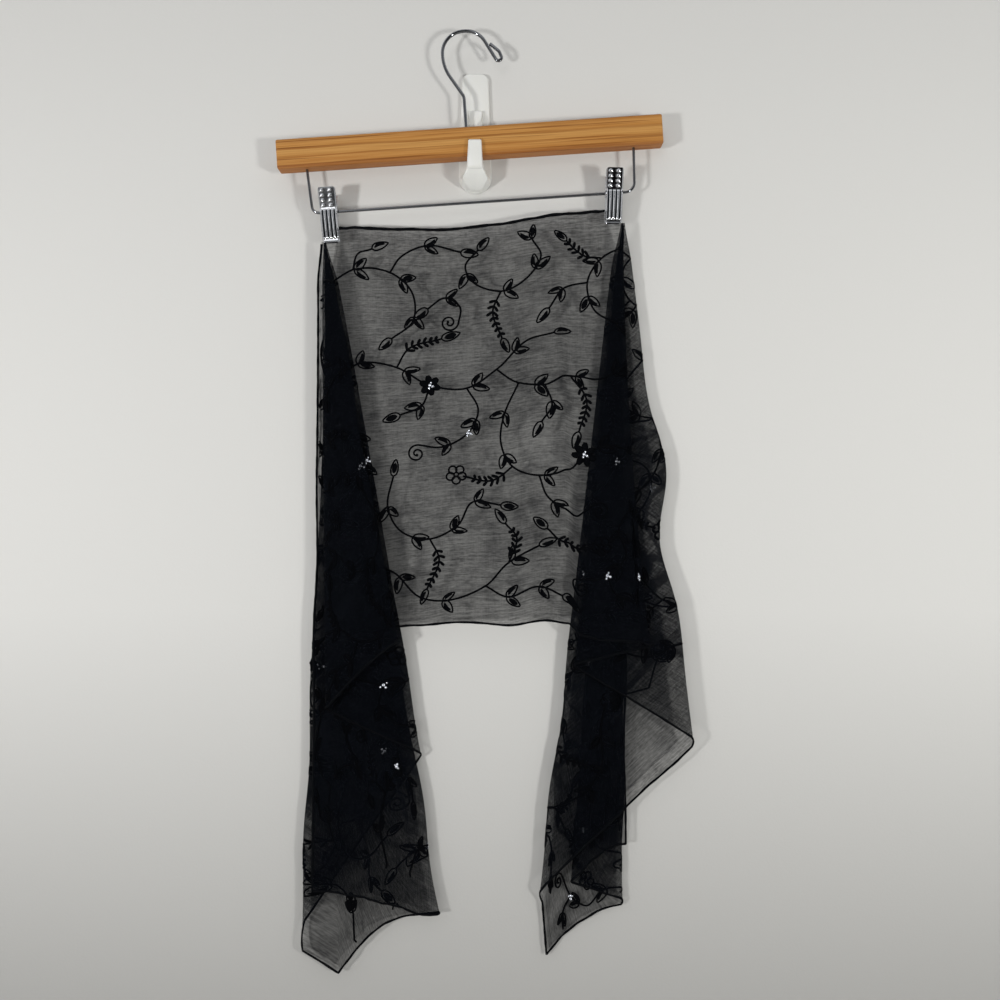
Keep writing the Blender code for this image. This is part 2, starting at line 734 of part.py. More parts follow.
def build():
    clear_scene()
    hanger = add_hanger()
    add_clips(hanger)
    add_plate()
    add_arm()
    add_panel()
    add_tail(LEFT_TAIL, "scarf_left_tail")
    add_tail(RIGHT_TAIL, "scarf_right_tail")


build()
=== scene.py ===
"""Looks for a sheer embroidered scarf, clipped to a bamboo hanger that rests in a white wall hook.

Forms are worked out in millimetres in the frame's own axes: X to the right, +Y into the wall and Z up,
from the middle of the wall plate's back. A mesh is turned to metres when it is made. The scarf is one
rectangle of cloth, so thread, hem and weave are drawn on the flat cloth first. Its Drape then says where
each point of the flat cloth hangs, so all that is sewn on the cloth follows its folds.
"""

import logging
import math
from dataclasses import dataclass, field
from enum import Enum
from typing import Any, Iterable, NamedTuple, Optional, Sequence

import bpy
import numpy as np
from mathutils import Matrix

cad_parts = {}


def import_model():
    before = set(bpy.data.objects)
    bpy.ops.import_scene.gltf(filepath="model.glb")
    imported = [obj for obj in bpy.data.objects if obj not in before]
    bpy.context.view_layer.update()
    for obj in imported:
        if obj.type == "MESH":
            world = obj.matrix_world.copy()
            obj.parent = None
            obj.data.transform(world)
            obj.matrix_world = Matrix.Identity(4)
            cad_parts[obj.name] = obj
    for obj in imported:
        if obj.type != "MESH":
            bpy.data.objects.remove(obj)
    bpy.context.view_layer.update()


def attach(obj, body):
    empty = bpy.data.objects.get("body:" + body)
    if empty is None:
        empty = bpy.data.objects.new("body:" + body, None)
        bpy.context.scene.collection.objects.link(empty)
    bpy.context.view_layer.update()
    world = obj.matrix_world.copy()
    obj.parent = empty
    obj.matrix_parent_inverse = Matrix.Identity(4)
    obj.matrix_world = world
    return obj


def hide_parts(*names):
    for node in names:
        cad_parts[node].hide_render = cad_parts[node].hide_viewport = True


MM = 0.001
FLAT_MAP = "flat"
HOLLOW_SHADE = "hollow"
Array = np.ndarray
LOG = logging.getLogger("scarf")


# Small tools


def smooth(value: Any) -> Any:
    """Ease from 0 to 1 with no kink at either end."""
    value = np.clip(value, 0.0, 1.0)
    return value * value * (3.0 - 2.0 * value)


def blend(start: Any, end: Any, share: Any) -> Any:
    """Go from start to end by a share."""
    return start + (end - start) * share


def linear(colour: str) -> tuple[float, float, float, float]:
    """Turn an sRGB hex colour to linear values.

    Args:
        colour: six hex digits after a #.

    Returns:
        Linear red, green, blue and an alpha of 1.
    """
    parts = [int(colour[i : i + 2], 16) / 255.0 for i in (1, 3, 5)]
    turned = [p / 12.92 if p <= 0.04045 else ((p + 0.055) / 1.055) ** 2.4 for p in parts]
    return (turned[0], turned[1], turned[2], 1.0)


def fill(tree: bpy.types.NodeTree, node: bpy.types.Node, inputs: dict) -> None:
    """Give a node's inputs their values, and link those that come from other nodes.

    Args:
        tree: node tree that holds the node.
        node: the node.
        inputs: a value or an output socket for each input, by name or number.
    """
    for name, value in inputs.items():
        if isinstance(value, bpy.types.NodeSocket):
            tree.links.new(value, node.inputs[name])
        else:
            node.inputs[name].default_value = value


def add_node(
    tree: bpy.types.NodeTree, kind: str, inputs: Optional[dict] = None, **settings: Any
) -> bpy.types.Node:
    """Add a node, set its properties, and fill or link its inputs.

    Args:
        tree: node tree that gets the node.
        kind: Blender's type name of the node.
        inputs: a value or an output socket for each input, by name or number.
        **settings: the node's own properties.

    Returns:
        The new node.
    """
    node = tree.nodes.new(kind)
    for name, value in settings.items():
        setattr(node, name, value)
    fill(tree, node, inputs or {})
    return node


class Part(NamedTuple):
    """Points in millimetres, four-sided faces, the flat-map place of each face's corners, and hollows for
    painted shade.
    """

    points: Array
    faces: Array
    flat: Array
    hollow: Optional[Array] = None


def joined(parts: Sequence[Part]) -> Part:
    """Join parts into one, without merging their points.

    Args:
        parts: one part or more.

    Returns:
        The joined part.
    """
    starts = np.cumsum([0] + [len(p.points) for p in parts[:-1]])
    return Part(
        np.concatenate([p.points for p in parts]),
        np.concatenate([p.faces + s for p, s in zip(parts, starts)]),
        np.concatenate([p.flat for p in parts]),
        np.concatenate([np.zeros(len(p.points)) if p.hollow is None else p.hollow for p in parts]),
    )


def add_piece(
    name: str, part: Part, material: bpy.types.Material, sharp: float = 180.0
) -> bpy.types.Object:
    """Make a mesh object from a part in millimetres.

    Args:
        name: the object's name.
        part: its points, faces and flat map.
        material: its finish.
        sharp: edges that turn by more than this many degrees are shaded as edges.

    Returns:
        The new object, linked to the scene.
    """
    mesh = bpy.data.meshes.new(name)
    mesh.vertices.add(len(part.points))
    mesh.vertices.foreach_set("co", (part.points * MM).astype(np.float32).ravel())
    mesh.loops.add(part.faces.size)
    mesh.loops.foreach_set("vertex_index", part.faces.astype(np.int32).ravel())
    mesh.polygons.add(len(part.faces))
    mesh.polygons.foreach_set("loop_start", np.arange(0, part.faces.size, 4, dtype=np.int32))
    mesh.update(calc_edges=True)
    layer = mesh.uv_layers.new(name=FLAT_MAP)
    layer.uv.foreach_set("vector", (part.flat * MM).astype(np.float32).ravel())
    # The hollows go on as a point attribute, which the chrome paints as shade
    if part.hollow is not None and part.hollow.any():
        hollow = mesh.attributes.new(HOLLOW_SHADE, "FLOAT", "POINT")
        hollow.data.foreach_set("value", part.hollow.astype(np.float32))
    mesh.shade_smooth()
    if sharp < 180.0:
        mesh.set_sharp_from_angle(angle=math.radians(sharp))
    mesh.materials.append(material)
    item = bpy.data.objects.new(name, mesh)
    bpy.context.collection.objects.link(item)
    return item


def grid_part(points: Array, flat: Array, closed: bool = False) -> Part:
    """A part from a grid of points.

    Args:
        points: rows by columns by 3.
        flat: rows by columns by 2, with one more column where the grid is closed.
        closed: the last column joins the first.

    Returns:
        The part, with one face for each cell.
    """
    rows, columns = points.shape[:2]
    cells = columns if closed else columns - 1
    r, c = np.meshgrid(np.arange(rows - 1), np.arange(cells), indexing="ij")
    after = (c + 1) % columns
    row, below = r * columns, (r + 1) * columns
    faces = np.stack([row + c, row + after, below + after, below + c], -1)
    corners = np.stack([flat[r, c], flat[r, c + 1], flat[r + 1, c + 1], flat[r + 1, c]], 2)
    return Part(points.reshape(-1, 3), faces.reshape(-1, 4), corners.reshape(-1, 2))


def capped(part: Part, ring: Array, reverse: bool) -> Part:
    """Close a tube's end with four-sided faces across an even ring of points.

    Args:
        part: the tube.
        ring: numbers of the points round its end.
        reverse: turn the faces over.

    Returns:
        The tube with that end closed.
    """
    count = len(ring)
    i = np.arange(count // 2 - 1)
    faces = np.stack([ring[i], ring[i + 1], ring[count - 2 - i], ring[count - 1 - i]], -1)
    if reverse:
        faces = faces[:, ::-1]
    flat = np.zeros((len(faces) * 4, 2))
    return part._replace(faces=np.concatenate([part.faces, faces]), flat=np.concatenate([part.flat, flat]))


def ends_capped(part: Part, columns: int, reverse_first: bool = True) -> Part:
    """Close both ends of a tube that is made of rings.

    Args:
        part: the tube.
        columns: points in each ring.
        reverse_first: turn the first end's faces over, or else the last end's.

    Returns:
        The closed tube.
    """
    index = np.arange(len(part.points))
    part = capped(part, index[:columns], reverse_first)
    return capped(part, index[-columns:], not reverse_first)


def unit(vectors: Array) -> Array:
    """Vectors of length 1."""
    return vectors / np.maximum(np.linalg.norm(vectors, axis=-1, keepdims=True), 1e-9)


def lengths_along(points: Array) -> Array:
    """Distance along a route at each of its points."""
    steps = np.linalg.norm(np.diff(points, axis=0), axis=1)
    return np.concatenate([[0.0], np.cumsum(steps)])


def resampled(points: Array, step: float, fewest: int = 4) -> Array:
    """Points at even steps along a route.

    Args:
        points: the route's points.
        step: longest step, in millimetres.
        fewest: least count of points.

    Returns:
        The new points, the route's two ends among them.
    """
    along = lengths_along(points)
    count = max(fewest, int(math.ceil(along[-1] / step)) + 1)
    at = np.linspace(0.0, along[-1], count)
    return np.stack([np.interp(at, along, points[:, k]) for k in range(points.shape[1])], 1)


def curve_through(corners: Sequence[Sequence[float]], per_span: int = 12) -> Array:
    """A smooth curve through points (centripetal spacing, so it doesn't overshoot).

    Args:
        corners: the points.
        per_span: new points from each one to the next.

    Returns:
        The curve's points.
    """
    knots = np.array(corners, float)
    if len(knots) == 2:
        return np.linspace(knots[0], knots[1], per_span)
    ends = [2 * knots[0] - knots[1], *knots, 2 * knots[-1] - knots[-2]]
    made = [knots[0]]
    for p0, p1, p2, p3 in zip(ends, ends[1:], ends[2:], ends[3:]):
        t0 = 0.0
        t1 = t0 + math.sqrt(max(np.linalg.norm(p1 - p0), 1e-6))
        t2 = t1 + math.sqrt(max(np.linalg.norm(p2 - p1), 1e-6))
        t3 = t2 + math.sqrt(max(np.linalg.norm(p3 - p2), 1e-6))
        for t in np.linspace(t1, t2, per_span + 1)[1:]:
            a1 = (t1 - t) / (t1 - t0) * p0 + (t - t0) / (t1 - t0) * p1
            a2 = (t2 - t) / (t2 - t1) * p1 + (t - t1) / (t2 - t1) * p2
            a3 = (t3 - t) / (t3 - t2) * p2 + (t - t2) / (t3 - t2) * p3
            b1 = (t2 - t) / (t2 - t0) * a1 + (t - t0) / (t2 - t0) * a2
            b2 = (t3 - t) / (t3 - t1) * a2 + (t - t1) / (t3 - t1) * a3
            made.append((t2 - t) / (t2 - t1) * b1 + (t - t1) / (t2 - t1) * b2)
    return np.array(made)


def tube(route: Array, normals: Array, wide: Any, thick: Any, sides: int) -> Part:
    """A tube along a route, flattened against the surface that the normals stand on.

    Args:
        route: its middle, in millimetres.
        normals: direction across its thin side at each point.
        wide: half its width, one value or one for each point.
        thick: half its thickness, likewise.
        sides: an even number of sides.

    Returns:
        The closed tube, its flat map being length by way round.
    """
    along = unit(np.gradient(route, axis=0))
    side = unit(np.cross(normals, along))
    normal = np.cross(along, side)
    turn = 2.0 * np.pi * np.arange(sides) / sides
    wide = np.broadcast_to(wide, len(route))[:, None, None]
    thick = np.broadcast_to(thick, len(route))[:, None, None]
    aside = np.cos(turn)[None, :, None] * side[:, None] * wide
    upward = np.sin(turn)[None, :, None] * normal[:, None] * thick
    length = lengths_along(route)
    around = np.linspace(0.0, 2.0 * np.pi * float(np.mean(wide)), sides + 1)
    flat = np.stack(np.broadcast_arrays(length[:, None], around[None, :]), -1)
    part = grid_part(route[:, None] + (aside + upward), flat, closed=True)
    return ends_capped(part, sides)


# Finishes


class Finish:
    """A material made of nodes. A subclass holds its values and says what its nodes are."""

    name: str

    def dress(self, tree: bpy.types.NodeTree, shader: bpy.types.Node) -> None:
        """Set the shader's values and add the nodes that drive it.

        Args:
            tree: the material's nodes.
            shader: its Principled BSDF.
        """
        raise NotImplementedError

    def material(self) -> bpy.types.Material:
        """Make the material.

        Returns:
            The new material.
        """
        made = bpy.data.materials.new(self.name)
        made.use_nodes = True
        tree = made.node_tree
        self.dress(tree, tree.nodes["Principled BSDF"])
        return made

    @staticmethod
    def flat_map(tree: bpy.types.NodeTree, scale: Sequence[float]) -> bpy.types.NodeSocket:
        """The flat map in metres, times a scale along and across.

        Args:
            tree: the material's nodes.
            scale: along and across, per metre.

        Returns:
            A socket that gives the scaled place.
        """
        place = add_node(tree, "ShaderNodeUVMap", uv_map=FLAT_MAP)
        scaled = add_node(tree, "ShaderNodeMapping", {"Vector": place.outputs[0], "Scale": (*scale, 1.0)})
        return scaled.outputs[0]

    @staticmethod
    def bump(
        tree: bpy.types.NodeTree, height: bpy.types.NodeSocket, depth_mm: float, strength: float
    ) -> bpy.types.NodeSocket:
        """A bump of a depth in millimetres."""
        inputs = {"Height": height, "Distance": depth_mm * MM, "Strength": strength}
        return add_node(tree, "ShaderNodeBump", inputs).outputs[0]

    @staticmethod
    def ramp(
        tree: bpy.types.NodeTree, share: bpy.types.NodeSocket, stops: Sequence[tuple[float, Any]]
    ) -> bpy.types.NodeSocket:
        """A colour ramp through hex colours or grey values.

        Args:
            tree: the material's nodes.
            share: where on the ramp, from 0 to 1.
            stops: places and their colours, lowest first.

        Returns:
            The ramp's colour.
        """
        node = add_node(tree, "ShaderNodeValToRGB", {0: share})
        colours = node.color_ramp.elements
        while len(colours) < len(stops):
            colours.new(0.5)
        for element, (place, value) in zip(colours, stops):
            element.position = place
            element.color = linear(value) if isinstance(value, str) else (value, value, value, 1.0)
        return node.outputs[0]


@dataclass(frozen=True)
class CrinkleGeorgette(Finish):
    """Crinkle georgette of hard twisted polyester yarn, piece dyed black.

    Its open weave lets about two fifths of the light through each layer, and the twisted yarn draws it up
    into a fine crinkle that runs along the weft, so one layer reads as streaked grey over a pale wall.
    """

    name: str = "crinkle_georgette"
    yarn: str = "#03050A"
    # Painted highlight: the lighter colour painted on the crests of the crinkle
    crest_highlight: str = "#070A10"
    cover: float = 0.60
    streak: float = 0.26
    crinkle_long_mm: float = 26.0
    crinkle_wide_mm: float = 1.9
    yarn_mm: float = 1.1
    band_wide_mm: float = 17.0
    gathered: float = 0.12
    crease_cover: float = 0.26
    crease_long_mm: float = 110.0
    crease_wide_mm: float = 60.0
    band_cover: float = 0.36
    least_cover: float = 0.34
    most_cover: float = 0.93
    drawn_from_mm: tuple[float, float] = (40.0, 140.0)
    drawn_to_mm: tuple[float, float] = (545.0, 500.0)
    drawn_down_mm: tuple[float, float] = (345.0, 310.0)

    def dress(self, tree: bpy.types.NodeTree, shader: bpy.types.Node) -> None:
        """Crinkle, yarns and slow bands set how much each place covers.

        Args:
            tree: the material's nodes.
            shader: its Principled BSDF.
        """
        along = 1.0 / (self.crinkle_long_mm * MM)
        across = 1.0 / (self.crinkle_wide_mm * MM)
        place = self.flat_map(tree, (along, across))
        crinkle = add_node(
            tree, "ShaderNodeTexNoise", {"Vector": place, "Scale": 1.0, "Detail": 3.0, "Roughness": 0.6}
        )
        # The real yarns are 0.2 mm apart; they are drawn 1.1 mm apart, the finest that shows at this size
        weave = self.flat_map(tree, (1.0 / (4.0 * self.yarn_mm * MM), 1.0 / (self.yarn_mm * MM)))
        warp = self.flat_map(tree, (1.0 / (self.yarn_mm * MM), 1.0 / (9.0 * self.yarn_mm * MM)))
        yarns = add_node(tree, "ShaderNodeTexNoise", {"Vector": weave, "Scale": 1.0, "Detail": 1.0})
        ends = add_node(tree, "ShaderNodeTexNoise", {"Vector": warp, "Scale": 1.0, "Detail": 1.0})
        # The slow bands vary the cover partly as the cloth's uneven stretch does, and partly as painted
        # shade for the shadows its folds cast on the wall
        slow = self.flat_map(tree, (1.0 / (self.band_wide_mm * MM), 1.0 / (5.0 * self.band_wide_mm * MM)))
        bands = add_node(tree, "ShaderNodeTexNoise", {"Vector": slow, "Scale": 1.0, "Detail": 2.0})
        cover = self.cover
        swings = (
            (crinkle, self.streak * 2.9),
            (yarns, self.streak * 1.7),
            (ends, self.streak * 0.6),
            (bands, self.band_cover),
        )
        for made, strength in swings:
            swing = add_node(tree, "ShaderNodeMath", {0: made.outputs[0], 1: 0.5}, operation="SUBTRACT")
            added = {0: swing.outputs[0], 1: strength, 2: cover}
            scaled = add_node(tree, "ShaderNodeMath", added, operation="MULTIPLY_ADD")
            cover = scaled.outputs[0]
        tails = self.drawn_in(tree)
        drawn = add_node(
            tree, "ShaderNodeMath", {0: tails, 1: self.gathered, 2: cover}, operation="MULTIPLY_ADD"
        )
        creases = add_node(tree, "ShaderNodeMath", {0: self.creases(tree), 1: tails}, operation="MULTIPLY")
        added = {0: creases.outputs[0], 1: self.crease_cover, 2: drawn.outputs[0]}
        doubled = add_node(tree, "ShaderNodeMath", added, operation="MULTIPLY_ADD")
        limits = {"Value": doubled.outputs[0], "Min": self.least_cover, "Max": self.most_cover}
        shown = add_node(tree, "ShaderNodeClamp", limits)
        relief = add_node(
            tree, "ShaderNodeMath", {0: crinkle.outputs[0], 1: yarns.outputs[0]}, operation="ADD"
        )
        normal = self.bump(tree, relief.outputs[0], 0.5, 0.5)
        # Painted highlight: the colour runs from the yarn's black to the lighter crests where the crinkle
        # stands highest
        shade = self.ramp(tree, crinkle.outputs[0], ((0.3, self.yarn), (0.75, self.crest_highlight)))
        looks = {
            "Alpha": shown.outputs[0],
            "Normal": normal,
            "Base Color": shade,
            "Roughness": 0.78,
            "Specular IOR Level": 0.05,
            "Sheen Weight": 0.01,
            "Sheen Roughness": 0.45,
            "Sheen Tint": linear("#8A93A6"),
        }
        fill(tree, shader, looks)

    def creases(self, tree: bpy.types.NodeTree) -> bpy.types.NodeSocket:
        """Narrow winding creases where drawn-in cloth lies double.

        Args:
            tree: the material's nodes.

        Returns:
            A share from 0 to 1.
        """
        place = self.flat_map(tree, (1.0 / (self.crease_long_mm * MM), 1.0 / (self.crease_wide_mm * MM)))
        winding = add_node(
            tree, "ShaderNodeTexNoise", {"Vector": place, "Scale": 1.0, "Detail": 1.5, "Distortion": 0.5}
        )
        swing = add_node(tree, "ShaderNodeMath", {0: winding.outputs[0], 1: 0.5}, operation="SUBTRACT")
        away = add_node(tree, "ShaderNodeMath", {0: swing.outputs[0]}, operation="ABSOLUTE")
        near = add_node(
            tree, "ShaderNodeMapRange", {0: away.outputs[0], 1: 0.006, 2: 0.030, 3: 1.0, 4: 0.0}
        )
        return near.outputs[0]

    def drawn_in(self, tree: bpy.types.NodeTree) -> bpy.types.NodeSocket:
        """How much the cloth is drawn together: in the tails, but not near the clips or the hems.

        Args:
            tree: the material's nodes.

        Returns:
            A share from 0 to 1.
        """
        place = add_node(tree, "ShaderNodeUVMap", uv_map=FLAT_MAP)
        parts = add_node(tree, "ShaderNodeSeparateXYZ", {0: place.outputs[0]})
        half = Drape.SPAN / 2.0 * MM
        aside = add_node(tree, "ShaderNodeMath", {0: parts.outputs[0], 1: half}, operation="SUBTRACT")
        out = add_node(tree, "ShaderNodeMath", {0: aside.outputs[0]}, operation="ABSOLUTE")
        fades = (
            (out.outputs[0], half, self.drawn_from_mm),
            (out.outputs[0], half, self.drawn_to_mm),
            (parts.outputs[1], 0.0, self.drawn_down_mm),
        )
        share = None
        for socket, base, (none, full) in fades:
            limits = {0: socket, 1: base + none * MM, 2: base + full * MM, 3: 0.0, 4: 1.0}
            step = add_node(tree, "ShaderNodeMapRange", limits)
            if share is not None:
                step = add_node(
                    tree, "ShaderNodeMath", {0: share, 1: step.outputs[0]}, operation="MULTIPLY"
                )
            share = step.outputs[0]
        return share


@dataclass(frozen=True)
class RolledEdge(Finish):
    """The same georgette rolled three times and whipped over: four layers thick, so it is opaque black."""

    name: str = "rolled_georgette_hem"
    cloth: str = "#040508"
    stitch_mm: float = 2.2

    def dress(self, tree: bpy.types.NodeTree, shader: bpy.types.Node) -> None:
        """Slanting stitches in the relief, and the cloth's crinkle between them.

        Args:
            tree: the material's nodes.
            shader: its Principled BSDF.
        """
        place = self.flat_map(tree, (1.0 / (self.stitch_mm * MM), 90.0))
        stitches = add_node(tree, "ShaderNodeTexWave", {"Vector": place, "Scale": 1.0, "Distortion": 0.6})
        normal = self.bump(tree, stitches.outputs["Fac"], 0.3, 0.6)
        shade = self.ramp(tree, stitches.outputs["Fac"], ((0.2, self.cloth), (0.9, "#07090D")))
        looks = {
            "Normal": normal,
            "Base Color": shade,
            "Roughness": 0.70,
            "Specular IOR Level": 0.06,
        }
        fill(tree, shader, looks)


@dataclass(frozen=True)
class RayonThread(Finish):
    """Twisted rayon chain stitch in black: a soft shine along each turn of the thread."""

    name: str = "rayon_thread"
    dye: str = "#020305"
    turn_mm: float = 1.6

    def dress(self, tree: bpy.types.NodeTree, shader: bpy.types.Node) -> None:
        """Turns of the thread in colour and relief.

        Args:
            tree: the material's nodes.
            shader: its Principled BSDF.
        """
        place = self.flat_map(tree, (1.0 / (self.turn_mm * MM), 300.0))
        turns = add_node(
            tree, "ShaderNodeTexWave", {"Vector": place, "Scale": 1.0, "Distortion": 1.5, "Detail": 1.0}
        )
        normal = self.bump(tree, turns.outputs["Fac"], 0.25, 0.7)
        shade = self.ramp(tree, turns.outputs["Fac"], ((0.1, self.dye), (0.95, "#05060A")))
        looks = {
            "Normal": normal,
            "Base Color": shade,
            "Roughness": 0.50,
            "Specular IOR Level": 0.03,
        }
        fill(tree, shader, looks)


@dataclass(frozen=True)
class SilveredGlass(Finish):
    """Cut glass beads and cupped sequins, silvered behind: each facet gives one hard sparkle."""

    name: str = "silvered_glass"
    silver: str = "#EEF1F8"

    def dress(self, tree: bpy.types.NodeTree, shader: bpy.types.Node) -> None:
        """A little dulling from the silvering's grain.

        Args:
            tree: the material's nodes.
            shader: its Principled BSDF.
        """
        place = self.flat_map(tree, (2000.0, 2000.0))
        grain = add_node(tree, "ShaderNodeTexNoise", {"Vector": place, "Scale": 1.0, "Detail": 2.0})
        shade = self.ramp(tree, grain.outputs[0], ((0.3, "#C2C6D0"), (0.7, self.silver)))
        looks = {
            "Base Color": shade,
            "Metallic": 0.9,
            "Roughness": 0.24,
        }
        fill(tree, shader, looks)


@dataclass(frozen=True)
class LaminatedBamboo(Finish):
    """Bamboo strips glued side by side, planed and lacquered: long fibres, darker vascular streaks."""

    name: str = "laminated_bamboo"
    fibre_pale: str = "#D09E5C"
    fibre_dark: str = "#A86E30"
    line: str = "#7A4414"
    fibre_mm: float = 1.0
    fibre_long_mm: float = 90.0
    line_mm: float = 2.4
    line_long_mm: float = 260.0
    front_from_mm: float = 13.0
    front_over_mm: float = 29.0
    drift_mm: float = 5.0

    # Down the bar's front: stops of its colour, as a share of the front, for its strips and glue lines,
    # with a darker top edge and a darker, redder band along the bottom
    STRIPS = (
        (0.00, "#98642C"), (0.10, "#AC7134"), (0.15, "#C68E4C"), (0.30, "#BC803C"), (0.36, "#925A22"),
        (0.41, "#CC9856"), (0.58, "#C68F4C"), (0.63, "#965A20"), (0.67, "#C48A48"), (0.84, "#B67A3A"),
        (0.88, "#8C4C1E"), (1.00, "#9A5426"),
    )

    def dress(self, tree: bpy.types.NodeTree, shader: bpy.types.Node) -> None:
        """Strips one above the other, fibres in them, and dark lines that run nearly the bar's length.

        Args:
            tree: the material's nodes.
            shader: its Principled BSDF.
        """
        place = self.flat_map(tree, (1.0, 1.0))
        parts = add_node(tree, "ShaderNodeSeparateXYZ", {0: place})
        drift_at = self.flat_map(tree, (9.0, 25.0))
        drift = add_node(tree, "ShaderNodeTexNoise", {"Vector": drift_at, "Scale": 1.0, "Detail": 2.0})
        swayed = {0: drift.outputs[0], 1: self.drift_mm * MM, 2: parts.outputs[1]}
        moved = add_node(tree, "ShaderNodeMath", swayed, operation="MULTIPLY_ADD")
        low = (self.front_from_mm + self.drift_mm / 2.0) * MM
        high = low + self.front_over_mm * MM
        share = add_node(tree, "ShaderNodeMapRange", {0: moved.outputs[0], 1: low, 2: high, 3: 0.0, 4: 1.0})
        strips = self.ramp(tree, share.outputs[0], self.STRIPS)
        fibre_at = self.flat_map(tree, (1.0 / (self.fibre_long_mm * MM), 1.0 / (self.fibre_mm * MM)))
        fibres = add_node(
            tree, "ShaderNodeTexNoise", {"Vector": fibre_at, "Scale": 1.0, "Detail": 3.0, "Roughness": 0.6}
        )
        wood = self.ramp(tree, fibres.outputs[0], ((0.36, self.fibre_dark), (0.64, self.fibre_pale)))
        mixed = add_node(
            tree, "ShaderNodeMix", {0: 0.42, 6: strips, 7: wood}, data_type="RGBA", blend_type="MIX"
        )
        line_at = self.flat_map(tree, (1.0 / (self.line_long_mm * MM), 1.0 / (self.line_mm * MM)))
        lines = add_node(
            tree, "ShaderNodeTexNoise", {"Vector": line_at, "Scale": 1.0, "Detail": 2.0, "Roughness": 0.7}
        )
        dark = self.ramp(tree, lines.outputs[0], ((0.56, 0.0), (0.66, 0.75)))
        streaks = {0: dark, 6: mixed.outputs[2], 7: linear(self.line)}
        lined = add_node(tree, "ShaderNodeMix", streaks, data_type="RGBA", blend_type="MIX")
        normal = self.bump(tree, fibres.outputs[0], 0.12, 0.3)
        looks = {
            "Base Color": lined.outputs[2],
            "Normal": normal,
            "Roughness": 0.45,
            "Specular IOR Level": 0.20,
            "Coat Weight": 0.05,
            "Coat Roughness": 0.3,
        }
        fill(tree, shader, looks)


@dataclass(frozen=True)
class ChromedSteel(Finish):
    """Drawn or stamped steel, nickel and chrome plated: a mirror, with painted shade in its stamped
    hollows.
    """

    name: str
    roughness: float
    waviness_mm: float
    chrome: str = "#B4B6BA"
    # Painted shade: the colour that the stamped hollows are painted, where the chrome would lie in shade
    hollow: str = "#08080A"

    def dress(self, tree: bpy.types.NodeTree, shader: bpy.types.Node) -> None:
        """Slight waves under the plating, smears that dull it in places, and painted shade in the hollows.

        Args:
            tree: the material's nodes.
            shader: its Principled BSDF.
        """
        place = self.flat_map(tree, (300.0, 300.0))
        waves = add_node(tree, "ShaderNodeTexNoise", {"Vector": place, "Scale": 1.0, "Detail": 2.0})
        normal = self.bump(tree, waves.outputs[0], self.waviness_mm, 0.4)
        smears = {0: waves.outputs[0], 1: 0.3, 2: 0.7, 3: self.roughness * 0.7, 4: self.roughness * 1.4}
        dull = add_node(tree, "ShaderNodeMapRange", smears)
        # The mesh's hollow share picks the painted shade colour
        stamped = add_node(tree, "ShaderNodeAttribute", attribute_name=HOLLOW_SHADE)
        shade = self.ramp(tree, stamped.outputs["Fac"], ((0.25, self.chrome), (0.85, self.hollow)))
        looks = {
            "Normal": normal,
            "Roughness": dull.outputs[0],
            "Base Color": shade,
            "Metallic": 1.0,
        }
        fill(tree, shader, looks)


@dataclass(frozen=True)
class MouldedPlastic(Finish):
    """Glossy white ABS from a polished mould: even colour, broad soft highlights, a trace of flow marks."""

    name: str = "moulded_white_abs"
    white: str = "#F3F3EF"

    def dress(self, tree: bpy.types.NodeTree, shader: bpy.types.Node) -> None:
        """Faint flow marks in colour and relief.

        Args:
            tree: the material's nodes.
            shader: its Principled BSDF.
        """
        place = self.flat_map(tree, (60.0, 25.0))
        flow = add_node(tree, "ShaderNodeTexNoise", {"Vector": place, "Scale": 1.0, "Detail": 2.0})
        shade = self.ramp(tree, flow.outputs[0], ((0.3, "#ECECE8"), (0.7, self.white)))
        normal = self.bump(tree, flow.outputs[0], 0.15, 0.15)
        looks = {
            "Base Color": shade,
            "Normal": normal,
            "Roughness": 0.28,
            "IOR": 1.53,
            "Subsurface Weight": 0.12,
            "Subsurface Radius": (0.003, 0.003, 0.0025),
        }
        fill(tree, shader, looks)


# The draped cloth


class Fold(NamedTuple):
    """One fold of a tail: the side it turns at, its direction on the flat cloth, and where it hangs."""

    turn: int
    cut: float
    lean_top: float
    lean_low: float
    reach: float
    slot: int
    sway: float
    sway_at: float


